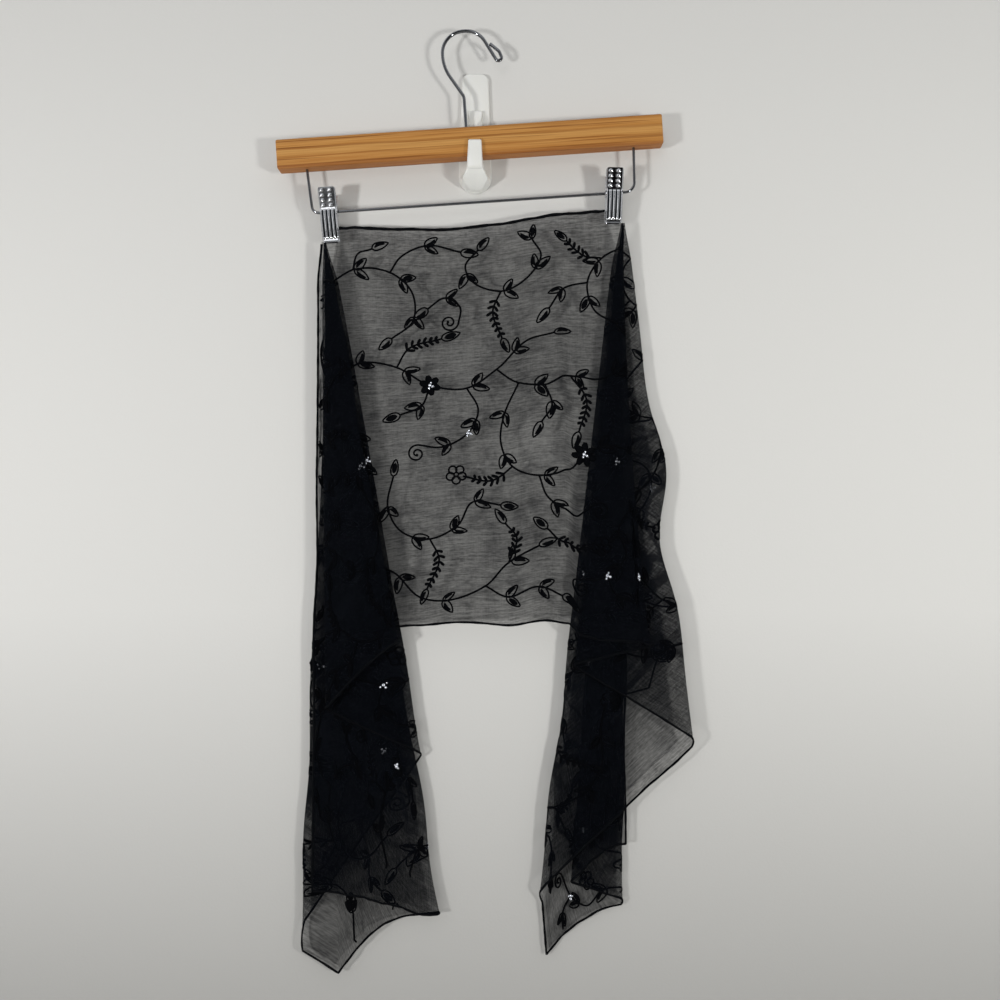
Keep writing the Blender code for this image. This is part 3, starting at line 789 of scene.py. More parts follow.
@dataclass(frozen=True)
class Tail:
    """A stretch of the scarf that falls from one clip, in layers folded to and fro."""

    side: int
    apex_x: float
    apex_z: float
    shift: float
    panel_slot: int
    forward: float
    width: float
    length: float
    sag: float
    seam_x: float
    seam_lean: float
    swell: float
    tip_along: float
    folds: tuple[Fold, ...]
    edge: Fold

    def corner(self) -> float:
        """Direction of the far corner on the flat cloth, in degrees from straight down."""
        return math.degrees(math.atan2(self.length, self.width))

    def hem(self, cut: Array) -> Array:
        """Distance from the clip to the cloth's edge in a direction on the flat cloth.

        Args:
            cut: directions from the clip, in degrees.

        Returns:
            Millimetres.
        """
        angle = np.radians(cut)
        sagged = self.length + self.sag * smooth((cut - Drape.SAG_FROM) / Drape.SAG_OVER)
        low = self.width / np.maximum(np.cos(angle), 1e-6)
        return np.where(cut <= self.corner(), low, sagged / np.maximum(np.sin(angle), 1e-6))

    def cuts(self, layer: int) -> tuple[float, float]:
        """Directions on the flat cloth at which a layer starts and ends.

        Args:
            layer: its number, 0 beside the panel.

        Returns:
            Both, in degrees from straight down.
        """
        low = 0.0 if layer == 0 else self.folds[layer - 1].cut + Drape.BEND_CUT
        high = self.edge.cut if layer == len(self.folds) else self.folds[layer].cut - Drape.BEND_CUT
        return low, high

    def share(self, layer: int, cut: Array) -> Array:
        """How far across its layer a direction on the flat cloth hangs.

        Args:
            layer: its number, 0 beside the panel.
            cut: directions from the clip, in degrees.

        Returns:
            Shares from 0 to 1.
        """
        low, high = self.cuts(layer)
        corner = self.corner()
        if not low < corner < high:
            return np.clip((cut - low) / (high - low), 0.0, 1.0)
        before = self.tip_along * (cut - low) / (corner - low)
        past = np.clip((cut - corner) / (high - corner), 0.0, 1.0)
        after = self.tip_along + (1.0 - self.tip_along) * (1.0 - (1.0 - past) ** (1.0 / Drape.TIP_EASE))
        return np.clip(np.where(cut <= corner, before, after), 0.0, 1.0)


class Drape:
    """Where each point of the flat cloth hangs.

    The flat cloth is measured in millimetres: along it from the left clip, less than 0 on the left tail and
    more than SPAN on the right one, and down it from the line between the clips.
    """

    SPAN = 272.0
    NIP_DEPTH = -16.0
    PITCH_NIP = 1.7
    PITCH_FREE = 2.6
    PITCH_SPREAD = 0.8
    FREE_FROM = 80.0
    TIP_DROP = 680.0
    BILLOW = 1.4
    LEAN_RUN = 400.0
    BEND_CUT = 0.8
    SAG_FROM = 63.5
    SAG_OVER = 10.0
    TIP_EASE = 1.8
    SWAY_RUN = 90.0
    TOP_HEM_LIFT = 11.5
    GATHER_RUN = 40.0
    CREASE = 0.30
    DROP_RUN = 60.0
    # How the panel's depth passes from one tail's to the other's: inset, and lean beside each tail
    PANEL_INSET = 14.0
    PANEL_LEANS = (11.5, 7.0)
    # The panel's upright folds, and the pull lines from its clips
    FOLD_FREE = 0.12
    PULL_COUNT = 22.0
    PULL_FADE = -4.0
    PULL_DEPTH = 1.4

    LEFT = Tail(
        side=-1, apex_x=-141.5, apex_z=-105.7, shift=2.0, panel_slot=3, forward=2.6,
        width=366.0, length=576.0, sag=28.0, seam_x=4.0, seam_lean=1.6, swell=2.6, tip_along=0.25,
        folds=(
            Fold(-1, 3.0, 0.5, 1.2, -0.3, 2, 0.0, 200.0),
            Fold(+1, 12.0, 10.0, 10.2, 3.6, 1, 1.5, 150.0),
            Fold(-1, 32.0, 0.2, 0.5, 1.6, 4, 0.0, 200.0),
            Fold(+1, 41.0, 11.0, 10.1, 4.6, 7, 1.2, 430.0),
            Fold(-1, 55.6, -0.2, -2.0, 0.4, 6, 2.0, 520.0),
            Fold(+1, 69.0, 9.2, 9.5, 2.4, 5, 2.5, 560.0),
        ),
        edge=Fold(-1, 90.0, -0.1, -0.5, 6.6, 5, 1.5, 330.0),
    )
    RIGHT = Tail(
        side=+1, apex_x=136.7, apex_z=-88.2, shift=0.5, panel_slot=1, forward=8.4,
        width=387.0, length=570.0, sag=8.0, seam_x=-2.2, seam_lean=1.6, swell=0.0, tip_along=0.12,
        folds=(
            Fold(+1, 9.0, 0.3, 3.5, 0.4, 2, 0.0, 200.0),
            Fold(-1, 20.0, -5.2, -6.0, 2.4, 3, 2.0, 230.0),
            Fold(+1, 37.0, 7.3, 7.2, 4.1, 4, 9.0, 264.0),
            Fold(-1, 52.0, -6.6, -6.6, 4.8, 7, 2.5, 500.0),
            Fold(+1, 64.0, 0.2, 0.1, 0.6, 6, 1.5, 560.0),
            Fold(-1, 69.0, -3.6, -4.2, 2.4, 5, 1.5, 400.0),
        ),
        edge=Fold(+1, 90.0, 0.2, 0.3, 0.2, 5, 1.5, 450.0),
    )
    # Across the panel: how much the top hem sags, and how far the bottom hem is drawn up
    HEMS = (
        (0.00, 0.0, 0.0),
        (0.08, -0.8, 4.5),
        (0.27, -5.6, 11.5),
        (0.42, -8.2, 15.0),
        (0.58, -6.3, 13.5),
        (0.71, -3.0, 18.5),
        (0.78, -1.0, 16.0),
        (0.83, -0.6, 5.0),
        (0.90, -0.5, 1.0),
        (1.00, 0.0, 0.0),
    )

    def pitch(self, drop: Array) -> Array:
        """Distance between stacked layers: drawn together in the clip, then standing apart.

        Args:
            drop: how far they have fallen.

        Returns:
            Millimetres.
        """
        opened = (self.PITCH_FREE - self.PITCH_NIP) * smooth(drop / self.FREE_FROM)
        spread = self.PITCH_NIP + opened + self.PITCH_SPREAD * np.maximum(drop, 0.0) / self.TIP_DROP
        return spread * (0.06 + 0.94 * smooth(drop / self.GATHER_RUN))

    def panel_depth(self, tail: Tail, drop: Array) -> Array:
        """Depth of the panel's layer beside a tail."""
        return self.NIP_DEPTH - tail.forward * smooth(drop / self.LEAN_RUN)

    def billow(self, x: Array, z: Array) -> Array:
        """Soft upright waves that every layer shares.

        Args:
            x: places across.
            z: their heights.

        Returns:
            How far back they move the cloth.
        """
        below = min(self.LEFT.apex_z, self.RIGHT.apex_z) - z
        swing = np.sin(x / 11.5 + 0.6) * 0.6 + np.sin(x / 26.0 - z / 210.0) * 0.4
        return self.BILLOW * smooth(below / 300.0) * swing

    def edge_x(self, tail: Tail, fold: Fold, ray: Array) -> Array:
        """How far across the outermost point of a fold lies at a distance down its ray.

        Args:
            tail: the tail it is in.
            fold: the fold.
            ray: distances from the clip on the flat cloth.

        Returns:
            Places across, in the part's frame.
        """
        share = np.minimum(ray / self.LEAN_RUN, 1.0)
        lean = np.radians(blend(fold.lean_top, fold.lean_low, share))
        away = (ray - fold.sway_at) / self.SWAY_RUN
        sway = -fold.sway * np.sin(np.pi * away) * np.exp(-away * away)
        gathered = 0.35 + 0.65 * smooth(ray / self.GATHER_RUN)
        return tail.apex_x + tail.shift + ray * np.sin(lean) + fold.turn * fold.reach * gathered + sway

    def bend(self, before: float, after: float, drop: Array) -> Array:
        """Half the width of the round bend between two layers."""
        return 0.75 * abs(after - before) / 2.0 * self.pitch(drop) + 0.4

    def seam_x(self, tail: Tail, drop: Array) -> Array:
        """Where the panel passes into a tail's first layer."""
        return tail.apex_x + tail.seam_x + drop * math.tan(math.radians(tail.seam_lean))

    def drop(self, tail: Tail, x: Array, ray: Array) -> Array:
        """How far a ray has fallen, given how far aside it has come.

        Args:
            tail: the tail it is in.
            x: where it has come to, across.
            ray: distances from the clip on the flat cloth.

        Returns:
            Millimetres.
        """
        aside = np.minimum(np.abs(x - tail.apex_x - tail.shift), ray * 0.9)
        shortened = ray - np.sqrt(np.maximum(ray * ray - aside * aside, 0.0))
        return ray - shortened * smooth(ray / self.DROP_RUN)

    def crease(self, layer: int, cut: Array, ray: Array, share: Array) -> Array:
        """Creases that fan out from the clip over a layer, held flat at its folds.

        Args:
            layer: its number.
            cut: directions from the clip, in degrees.
            ray: distances from the clip on the flat cloth.
            share: how far across the layer.

        Returns:
            Their height, as a share of the pitch.
        """
        turn = cut * 1.15 + layer * 1.9
        fan = np.sin(turn + np.sin(ray / 90.0 + layer) * 0.8) + 0.5 * np.sin(turn * 2.7 + ray / 60.0)
        return self.CREASE * fan * np.sin(np.pi * share) * smooth(ray / 160.0)

    def hang_tail(self, tail: Tail, cut: Array, ray: Array) -> Array:
        """Where points of a tail hang.

        Args:
            tail: the tail they are on.
            cut: their directions from the clip on the flat cloth, in degrees from straight down.
            ray: their distances from the clip.

        Returns:
            Their places in millimetres.
        """
        slots = [float(tail.panel_slot)] + [float(fold.slot) for fold in tail.folds]
        x = np.zeros_like(ray)
        slot = np.zeros_like(ray)
        lift = np.zeros_like(ray)
        for layer, place in enumerate(slots):
            low, high = tail.cuts(layer)
            here = (cut >= low) & (cut <= high)
            r = ray[here]
            if layer == 0:
                start = self.seam_x(tail, r)
            else:
                fold = tail.folds[layer - 1]
                start = self.edge_x(tail, fold, r) - fold.turn * self.bend(slots[layer - 1], place, r)
            if layer == len(tail.folds):
                end = self.edge_x(tail, tail.edge, r)
            else:
                fold = tail.folds[layer]
                end = self.edge_x(tail, fold, r) - fold.turn * self.bend(place, slots[layer + 1], r)
            share = tail.share(layer, cut[here])
            x[here] = blend(start, end, share)
            slot[here] = place
            swell = tail.swell * np.sin(np.pi * share) * smooth(r / 220.0) if place == 1.0 else 0.0
            lift[here] = swell + self.crease(layer, cut[here], r, share) * self.pitch(r)
        for index, fold in enumerate(tail.folds):
            here = np.abs(cut - fold.cut) < self.BEND_CUT
            r = ray[here]
            turn = (cut[here] - fold.cut) / self.BEND_CUT * np.pi / 2.0
            wide = self.bend(slots[index], slots[index + 1], r)
            x[here] = self.edge_x(tail, fold, r) - fold.turn * wide * (1.0 - np.cos(turn))
            slot[here] = blend(slots[index], slots[index + 1], (1.0 + np.sin(turn)) / 2.0)
        drop = self.drop(tail, x, ray)
        z = tail.apex_z - drop
        y = self.panel_depth(tail, drop) + (slot - tail.panel_slot) * self.pitch(drop) - lift
        return np.stack([x, y + self.billow(x, z), z], -1)

    def hang_panel(self, along: Array, down: Array) -> Array:
        """Where points of the panel hang, from their place along and down the flat cloth.

        Args:
            along: places along it.
            down: places down it.

        Returns:
            Their places in millimetres.
        """
        across = np.clip(along / self.SPAN, 0.0, 1.0)
        height = blend(self.LEFT.width, self.RIGHT.width, across)
        share = down / height
        sides = []
        for tail in (self.LEFT, self.RIGHT):
            ray = np.maximum(share, 0.0) * tail.width
            x = self.seam_x(tail, ray)
            drop = self.drop(tail, x, ray)
            above = np.minimum(down, 0.0)
            sides.append((self.seam_x(tail, drop + above), tail.apex_z - drop - above))
        table = np.array(self.HEMS)
        span = np.clip(np.searchsorted(table[:, 0], across) - 1, 0, len(table) - 2)
        ease = smooth((across - table[span, 0]) / (table[span + 1, 0] - table[span, 0]))
        sag = blend(table[span, 1], table[span + 1, 1], ease)
        rise = blend(table[span, 2], table[span + 1, 2], ease)
        fallen = (down + self.TOP_HEM_LIFT) / (height + self.TOP_HEM_LIFT)
        x = blend(sides[0][0], sides[1][0], across)
        z = blend(sides[0][1], sides[1][1], across) + sag * (1.0 - fallen) + rise * fallen
        left_drop = self.LEFT.apex_z - z
        right_drop = self.RIGHT.apex_z - z
        slopes = [math.tan(math.radians(lean)) for lean in self.PANEL_LEANS]
        start = self.LEFT.apex_x + np.maximum(left_drop, 0.0) * slopes[0] + self.PANEL_INSET
        end = self.RIGHT.apex_x - np.maximum(right_drop, 0.0) * slopes[1] - self.PANEL_INSET
        near = self.panel_depth(self.LEFT, left_drop)
        far = self.panel_depth(self.RIGHT, right_drop)
        y = blend(near, far, smooth((x - start) / (end - start)))
        return np.stack([x, y + self.billow(x, z) + self.ripple(across, fallen), z], -1)

    def ripple(self, across: Array, fallen: Array) -> Array:
        """Shallow upright folds of the panel, and the pull lines that spread from its clips.

        Args:
            across: shares of the way across the panel.
            fallen: shares of the way down it.

        Returns:
            How far back they move the cloth.
        """
        inside = smooth(across / self.FOLD_FREE) * smooth((1.0 - across) / self.FOLD_FREE)
        narrow = np.sin(across * 41.0 + np.sin(fallen * 3.0) * 1.3) * 0.5
        upright = narrow + np.sin(across * 23.0 - fallen * 2.0) * 0.6
        pulls = np.zeros_like(inside)
        for away in (across, 1.0 - across):
            fan = np.sin(np.arctan2(away, fallen + 0.05) * self.PULL_COUNT)
            pulls = pulls + fan * np.exp(self.PULL_FADE * (away + fallen))
        return inside * (upright * (0.5 + 0.8 * fallen) + self.PULL_DEPTH * pulls)

    def hang(self, flat: Array) -> Array:
        """Where points of the flat cloth hang.

        Args:
            flat: place along and down the flat cloth, in millimetres.

        Returns:
            Places in millimetres.
        """
        along, down = flat[:, 0], flat[:, 1]
        places = self.hang_panel(along, down)
        for tail, out in ((self.LEFT, -along), (self.RIGHT, along - self.SPAN)):
            here = out > 0.0
            below = np.maximum(down[here], 0.0)
            cut = np.degrees(np.arctan2(out[here], below))
            places[here] = self.hang_tail(tail, cut, np.hypot(out[here], below))
        return places

    def normals(self, flat: Array) -> Array:
        """Which way the cloth faces at points of the flat cloth.

        Args:
            flat: places along and down the flat cloth.

        Returns:
            Directions of length 1.
        """
        step = 0.25
        along = self.hang(flat + [step, 0.0]) - self.hang(flat - [step, 0.0])
        down = self.hang(flat + [0.0, step]) - self.hang(flat - [0.0, step])
        return unit(np.cross(along, down))


@dataclass
class ScarfCloth:
    """The whole cloth: a panel between the clips and the two tails, one continuous sheet."""

    drape: Drape
    rows: int = 150
    top_rows: int = 8
    panel_columns: int = 150
    layer_steps: int = 13
    bend_steps: int = 8
    first_ray: float = 0.8

    def stations(self, tail: Tail) -> Array:
        """Directions on the flat cloth for the mesh's columns, closest at the folds and the corner.

        Args:
            tail: the tail they are for.

        Returns:
            Degrees from straight down, least first.
        """
        cuts: list[float] = []
        for layer in range(len(tail.folds) + 1):
            low, high = tail.cuts(layer)
            steps = 4 if layer == 0 else self.layer_steps
            corner = tail.corner()
            if low < corner < high:
                cuts += list(np.linspace(low, corner, 5)[:-1]) + list(np.linspace(corner, high, steps + 8))
            else:
                cuts += list(np.linspace(low, high, steps + 1))
            if layer < len(tail.folds):
                bend = np.linspace(-1.0, 1.0, self.bend_steps + 1)[1:-1] * Drape.BEND_CUT
                cuts += list(tail.folds[layer].cut + bend)
        return np.array(cuts)

    def tail_flat(self, tail: Tail) -> tuple[Array, Array]:
        """Directions and distances of the tail's mesh points, rows by columns.

        Args:
            tail: the tail they are for.

        Returns:
            The directions, and the distances from the clip.
        """
        cuts = self.stations(tail)
        shares = (np.arange(self.rows + 1) / self.rows)[:, None] ** 1.1
        rays = self.first_ray + shares * (tail.hem(cuts)[None, :] - self.first_ray)
        return np.broadcast_to(cuts, rays.shape).copy(), rays

    def part(self) -> Part:
        """The sheet, its flat map being its place on the flat cloth.

        Returns:
            Panel and both tails.
        """
        parts = []
        for tail in (self.drape.LEFT, self.drape.RIGHT):
            cuts, rays = self.tail_flat(tail)
            hung = self.drape.hang_tail(tail, cuts.ravel(), rays.ravel()).reshape(*rays.shape, 3)
            out = rays * np.sin(np.radians(cuts))
            along = -out if tail.side < 0 else self.drape.SPAN + out
            flat = np.stack([along, rays * np.cos(np.radians(cuts))], -1)
            if tail.side < 0:
                hung, flat = hung[:, ::-1], flat[:, ::-1]
            parts.append(grid_part(hung, flat))
        above = np.linspace(-Drape.TOP_HEM_LIFT, 0.0, self.top_rows + 1)[:-1]
        columns = np.linspace(0.0, self.drape.SPAN, self.panel_columns + 1)
        shares = (np.arange(self.rows + 1) / self.rows) ** 1.1
        height = blend(self.drape.LEFT.width, self.drape.RIGHT.width, columns / self.drape.SPAN)
        below = self.first_ray + shares[:, None] * (height[None, :] - self.first_ray)
        down = np.concatenate([np.broadcast_to(above[:, None], (len(above), len(columns))), below])
        along = np.broadcast_to(columns, down.shape)
        hung = self.drape.hang_panel(along.ravel(), down.ravel()).reshape(*down.shape, 3)
        parts.append(grid_part(hung, np.stack([along, down], -1)))
        return joined(parts)


@dataclass
class RolledHem:
    """The narrow hem rolled all round the scarf's edge."""

    drape: Drape
    half_width: float = 1.05
    half_thick: float = 0.75
    top_extra: float = 0.35
    step: float = 1.6
    sides: int = 8

    def edges(self) -> list[tuple[Array, float]]:
        """The edge on the flat cloth, stretch by stretch, each with how much thicker its roll is.

        Returns:
            The top hem between the clips, then the rest from one clip to the other.
        """
        span = self.drape.SPAN
        found = []
        along = np.linspace(0.0, span, 240)
        found.append((np.stack([along, np.full_like(along, -Drape.TOP_HEM_LIFT)], 1), self.top_extra))
        height = blend(self.drape.LEFT.width, self.drape.RIGHT.width, along / span)
        for tail in (self.drape.LEFT, self.drape.RIGHT):
            low_cuts = np.linspace(0.05, tail.corner(), 500)
            cuts = np.concatenate([low_cuts, np.linspace(tail.corner(), 90.0, 500)[1:]])
            hem = tail.hem(cuts)
            out = hem * np.sin(np.radians(cuts))
            low = np.stack([out, hem * np.cos(np.radians(cuts))], 1)
            rays = np.linspace(tail.length + tail.sag, 3.0, 400)[1:]
            low = np.concatenate([low, np.stack([rays, np.zeros_like(rays)], 1)])
            low[:, 0] = -low[:, 0] if tail.side < 0 else span + low[:, 0]
            if tail.side < 0:
                left = low
            else:
                right = low
        bottom = np.stack([along, height], 1)
        found.append((np.concatenate([left[::-1], bottom, right]), 0.0))
        return found

    def part(self) -> Part:
        """The rolled edge as tubes, a little uneven as a rolled hem is.

        Returns:
            The tubes.
        """
        made = []
        for route, extra in self.edges():
            route = resampled(route, self.step)
            hung = self.drape.hang(route)
            normals = self.drape.normals(route)
            length = lengths_along(route)
            uneven = 1.0 + 0.10 * np.sin(length / 5.3) + 0.07 * np.sin(length / 2.1 + 1.0)
            wide = (self.half_width + extra) * uneven
            made.append(tube(hung, normals, wide, (self.half_thick + extra) * uneven, self.sides))
        return joined(made)


# Embroidery


class End(Enum):
    """What a stem ends in."""

    PLAIN = "plain"
    BUD = "bud"
    PAIR = "pair of leaves"
    SPIRAL = "spiral"


@dataclass(frozen=True)
class Vine:
    """A stem through points on the flat cloth, with leaves, a stretch of barbs, and what its ends carry."""

    through: tuple[tuple[float, float], ...]
    leaves: tuple[float, ...] = ()
    end: End = End.PLAIN
    hand: int = 1
    start: End = End.PLAIN
    barbs: Optional[tuple[float, float]] = None


@dataclass(frozen=True)
class Blossom:
    """A flower: filled with satin stitch round a bead, or drawn in outline round one."""

    at: tuple[float, float]
    filled: bool
    petals: int = 6
    radius: float = 8.5


@dataclass
class Stroke:
    """A run of thread on the flat cloth, with its half width at each point."""

    route: Array
    wide: Array


@dataclass
class Embroidery:
    """Chain stitched vines, leaves, ferns, spirals and flowers, with beads and sequins."""

    drape: Drape
    stem: float = 0.92
    line: float = 0.78
    rise: float = 0.40
    step: float = 1.5
    leaf_long: float = 15.5
    leaf_wide: float = 7.2
    barb_long: float = 7.4
    barb_gap: float = 5.6
    repeat: float = 282.0
    # Stems start 3 mm before a repeat and end 3 mm before the next, so a turned one is moved by twice that
    overhang: float = 6.0
    # How near thread comes to the bottom hem and the ends, to a tail's top hem, and its top on the panel
    hem_clear: float = 4.0
    top_clear: float = 3.0
    panel_top: float = -7.5
    spiral_radius: float = 8.5
    bead_sides: int = 10
    seed: int = 7
    dice: np.random.Generator = field(init=False, repr=False)

    VINES = (
        Vine(((-3, 44), (24, 28), (58, 30), (78, 50), (78, 78), (58, 94)), (0.22, 0.52, 0.8), End.BUD),
        Vine(((58, 30), (70, 14), (96, 4), (124, 12)), (0.55,), End.BUD),
        Vine(((24, 28), (28, 14), (42, 8)), (), End.BUD),
        Vine(
            ((140, 12), (128, 26), (136, 44), (160, 54), (184, 46), (198, 26), (190, 8)),
            (0.2, 0.5, 0.76), End.PAIR, 1, End.BUD,
        ),
        Vine(((160, 54), (152, 74), (160, 100)), (), End.BUD, 1, End.PLAIN, (0.2, 0.95)),
        Vine(((279, 22), (254, 32), (240, 54), (246, 80), (266, 94)), (0.3, 0.64), End.BUD, -1),
        Vine(((240, 54), (220, 58), (204, 78)), (0.5,), End.BUD, -1),
        Vine(((254, 32), (236, 28), (222, 14)), (), End.BUD, 1, End.PLAIN, (0.3, 0.95)),
        Vine(
            (
                (-3, 132), (30, 116), (62, 122), (92, 141),
                (126, 146), (154, 130), (180, 108), (208, 102),
            ),
            (0.14, 0.33, 0.62, 0.83), End.BUD,
        ),
        Vine(((62, 122), (74, 104), (104, 96)), (), End.BUD, 1, End.PLAIN, (0.35, 0.95)),
        Vine(((92, 66), (108, 56), (122, 66), (120, 82)), (0.4,), End.SPIRAL, 1, End.BUD),
        Vine(((92, 141), (84, 160), (64, 168)), (0.5,), End.BUD),
        Vine(((126, 146), (136, 168), (126, 190), (102, 202), (80, 198)), (0.35, 0.7), End.SPIRAL, -1),
        Vine(((154, 130), (174, 146), (198, 152), (222, 142), (250, 144), (279, 130)), (0.3, 0.6, 0.86)),
        Vine(((222, 142), (236, 164), (228, 194)), (), End.BUD, -1, End.PLAIN, (0.25, 0.92)),
        Vine(((198, 152), (204, 172), (194, 188)), (0.45,), End.BUD),
        Vine(((-3, 172), (22, 184), (32, 208), (24, 234)), (0.35, 0.72), End.BUD, -1),
        Vine(
            (
                (174, 146), (160, 174), (156, 202), (166, 226), (190, 240),
                (216, 234), (232, 215), (254, 206), (279, 214),
            ),
            (0.14, 0.33, 0.55, 0.84),
        ),
        Vine(((190, 240), (198, 262), (220, 274), (240, 260)), (0.4,), End.SPIRAL),
        Vine(((166, 226), (146, 238), (120, 232)), (), End.PLAIN, -1, End.PLAIN, (0.2, 0.85)),
        Vine(
            ((56, 226), (50, 254), (62, 280), (88, 290), (114, 280), (128, 258), (154, 262)),
            (0.18, 0.42, 0.64, 0.86), End.BUD, 1, End.BUD,
        ),
        Vine(((88, 290), (96, 312), (84, 338)), (), End.BUD, 1, End.PLAIN, (0.25, 0.9)),
        Vine(((50, 254), (34, 264), (14, 258)), (0.5,), End.BUD),
        Vine(
            (
                (-3, 322), (30, 306), (54, 318), (76, 344),
                (106, 352), (138, 340), (160, 318), (188, 308),
            ),
            (0.12, 0.32, 0.54, 0.88), End.BUD,
        ),
        Vine(((138, 340), (158, 351), (184, 347), (208, 356)), (0.3, 0.7), End.BUD),
        Vine(((160, 318), (168, 296), (158, 280)), (), End.BUD, 1, End.PLAIN, (0.2, 0.85)),
        Vine(((279, 258), (262, 284), (268, 308), (250, 326), (224, 332)), (0.3, 0.62), End.SPIRAL, -1),
        Vine(((250, 326), (258, 344), (279, 352)), (0.5,)),
        Vine(((196, 292), (210, 304), (238, 300)), (), End.PLAIN, 1, End.BUD, (0.3, 0.85)),
    )
    BLOSSOMS = (
        Blossom((92, 141), True, 6, 10.0),
        Blossom((114, 230), False, 5, 9.0),
        Blossom((232, 215), True, 7, 11.5),
        Blossom((246, 299), False, 5, 8.5),
        Blossom((30, 306), False, 6, 8.0),
    )
    SEQUINS = ((126, 190), (32, 208), (250, 326))
    # Each cluster of beads: how far from its middle each bead sits, and the bead's radius
    CLUSTER = (((0.0, 0.0), 1.7), ((2.7, 1.2), 1.3), ((-0.9, 2.7), 1.1), ((1.2, -2.5), 0.9))
    # A bead from the cloth outwards: height and radius of each ring of facets, in bead radii
    BEAD_RINGS = ((-0.1, 0.85), (0.15, 1.0), (0.45, 0.88), (0.68, 0.58), (0.78, 0.25))

    def leaf(self, at: Array, heading: float, size: float) -> list[Stroke]:
        """A pointed leaf drawn in outline, with a filled sliver inside that leaves one side open.

        Args:
            at: where it starts on the flat cloth.
            heading: the way it points, in radians.
            size: times the usual leaf.

        Returns:
            The outline and the filling.
        """
        size = size * self.dice.uniform(0.88, 1.10)
        slim = self.dice.uniform(0.80, 1.08)
        heading = heading + self.dice.uniform(-0.10, 0.10)
        share = np.linspace(0.0, 1.0, 14)
        # The greatest value of the curve below, so that leaf_wide is the whole width
        widest = 0.3915
        half = self.leaf_wide / 2.0 * size * slim * share**0.55 * (1.0 - share) ** 0.85 / widest
        length = self.leaf_long * size
        upper = np.stack([share * length, half], 1)
        lower = np.stack([share * length, -half], 1)[::-1]
        outline = self.turned(np.concatenate([upper, lower[1:]]), heading) + at
        inner = np.linspace(0.16, 0.80, 9)
        full = self.dice.random() < 0.2
        aside = 0.0 if full else self.dice.choice([-0.22, 0.22]) * self.leaf_wide * size * slim
        bow = aside * np.sin(np.pi * np.linspace(0.0, 1.0, 9))
        fill = self.turned(np.stack([inner * length, bow], 1), heading) + at
        swell = np.maximum(np.sin(np.pi * np.linspace(0.0, 1.0, 9)), 0.0) ** 0.6
        return [
            Stroke(outline, np.full(len(outline), self.line)),
            Stroke(fill, 0.3 + (2.2 if full else 1.45) * size * slim * swell),
        ]

    def pair(self, at: Array, heading: float, size: float = 1.0) -> list[Stroke]:
        """Two leaves that stand in a V.

        Args:
            at: where it starts on the flat cloth.
            heading: the way it points, in radians.
            size: times the usual leaf.

        Returns:
            Strokes on the flat cloth.
        """
        spread = self.dice.uniform(0.50, 0.80)
        lean = self.dice.uniform(-0.25, 0.25)
        first = self.leaf(at, heading + lean + spread, size)
        return first + self.leaf(at, heading + lean - spread, size * 0.92)

    def barbs(self, route: Array, first: float, last: float) -> list[Stroke]:
        """Short thick stitches that stand off both sides of a stretch of stem, as on a fern.

        Args:
            route: the stem.
            first: share of it where they start.
            last: and where they end.

        Returns:
            Strokes on the flat cloth.
        """
        along = lengths_along(route)
        strokes = []
        places = np.arange(first * along[-1], last * along[-1], self.barb_gap)
        for i, place in enumerate(places):
            root = np.array([np.interp(place, along, route[:, k]) for k in (0, 1)])
            ahead = np.array([np.interp(place + 2.0, along, route[:, k]) for k in (0, 1)]) - root
            way = math.atan2(ahead[1], ahead[0])
            reach = self.barb_long * (1.0 - 0.35 * i / len(places)) * self.dice.uniform(0.85, 1.1)
            for side in (-1, 1):
                lean = way + side * self.dice.uniform(0.72, 0.98)
                tip = root + reach * np.array([math.cos(lean), math.sin(lean)])
                strokes.append(Stroke(np.linspace(root, tip, 5), np.array([0.70, 1.10, 1.40, 1.45, 0.90])))
        return strokes

    def spiral(self, at: Array, heading: float, hand: int) -> list[Stroke]:
        """A stem's end rolled in on itself, with a knot in the middle.

        Args:
            at: where it starts on the flat cloth.
            heading: the way it points, in radians.
            hand: 1 or -1, the side it rolls to.

        Returns:
            Strokes on the flat cloth.
        """
        turns = np.linspace(0.0, 3.1 * np.pi, 44)
        radius = blend(self.spiral_radius, 1.4, turns / turns[-1])
        aside = heading + hand * np.pi / 2
        centre = np.array(at) + self.spiral_radius * np.array([math.cos(aside), math.sin(aside)])
        start = heading - hand * np.pi / 2
        angle = start + hand * turns
        route = centre + radius[:, None] * np.stack([np.cos(angle), np.sin(angle)], 1)
        knot = np.linspace(route[-1] - [1.2, 0.0], route[-1] + [1.2, 0.0], 4)
        return [Stroke(route, np.full(44, self.line + 0.1)), Stroke(knot, np.array([0.6, 1.5, 1.5, 0.6]))]

    def blossom(self, flower: Blossom) -> list[Stroke]:
        """The petals of a flower.

        Args:
            flower: its place and kind.

        Returns:
            Strokes on the flat cloth.
        """
        strokes = []
        for i in range(flower.petals):
            way = 2.0 * np.pi * i / flower.petals + 0.35
            ahead = np.array([math.cos(way), math.sin(way)])
            if flower.filled:
                share = np.linspace(0.15, 1.0, 7)
                route = np.array(flower.at) + share[:, None] * flower.radius * ahead
                wide = 0.6 + 2.7 * np.sin(np.pi * np.linspace(0.1, 0.92, 7)) ** 0.8
                strokes.append(Stroke(route, wide))
            else:
                loop = np.linspace(0.0, 2.0 * np.pi, 15)
                along = flower.radius * (0.62 - 0.42 * np.cos(loop))
                across = flower.radius * 0.42 * np.sin(loop)
                route = np.stack([along, across], 1)
                strokes.append(Stroke(self.turned(route, way) + flower.at, np.full(15, self.line + 0.1)))
        return strokes

    @staticmethod
    def turned(points: Array, heading: float) -> Array:
        """Points turned by an angle about their own origin."""
        c, s = math.cos(heading), math.sin(heading)
        return points @ np.array([[c, s], [-s, c]])

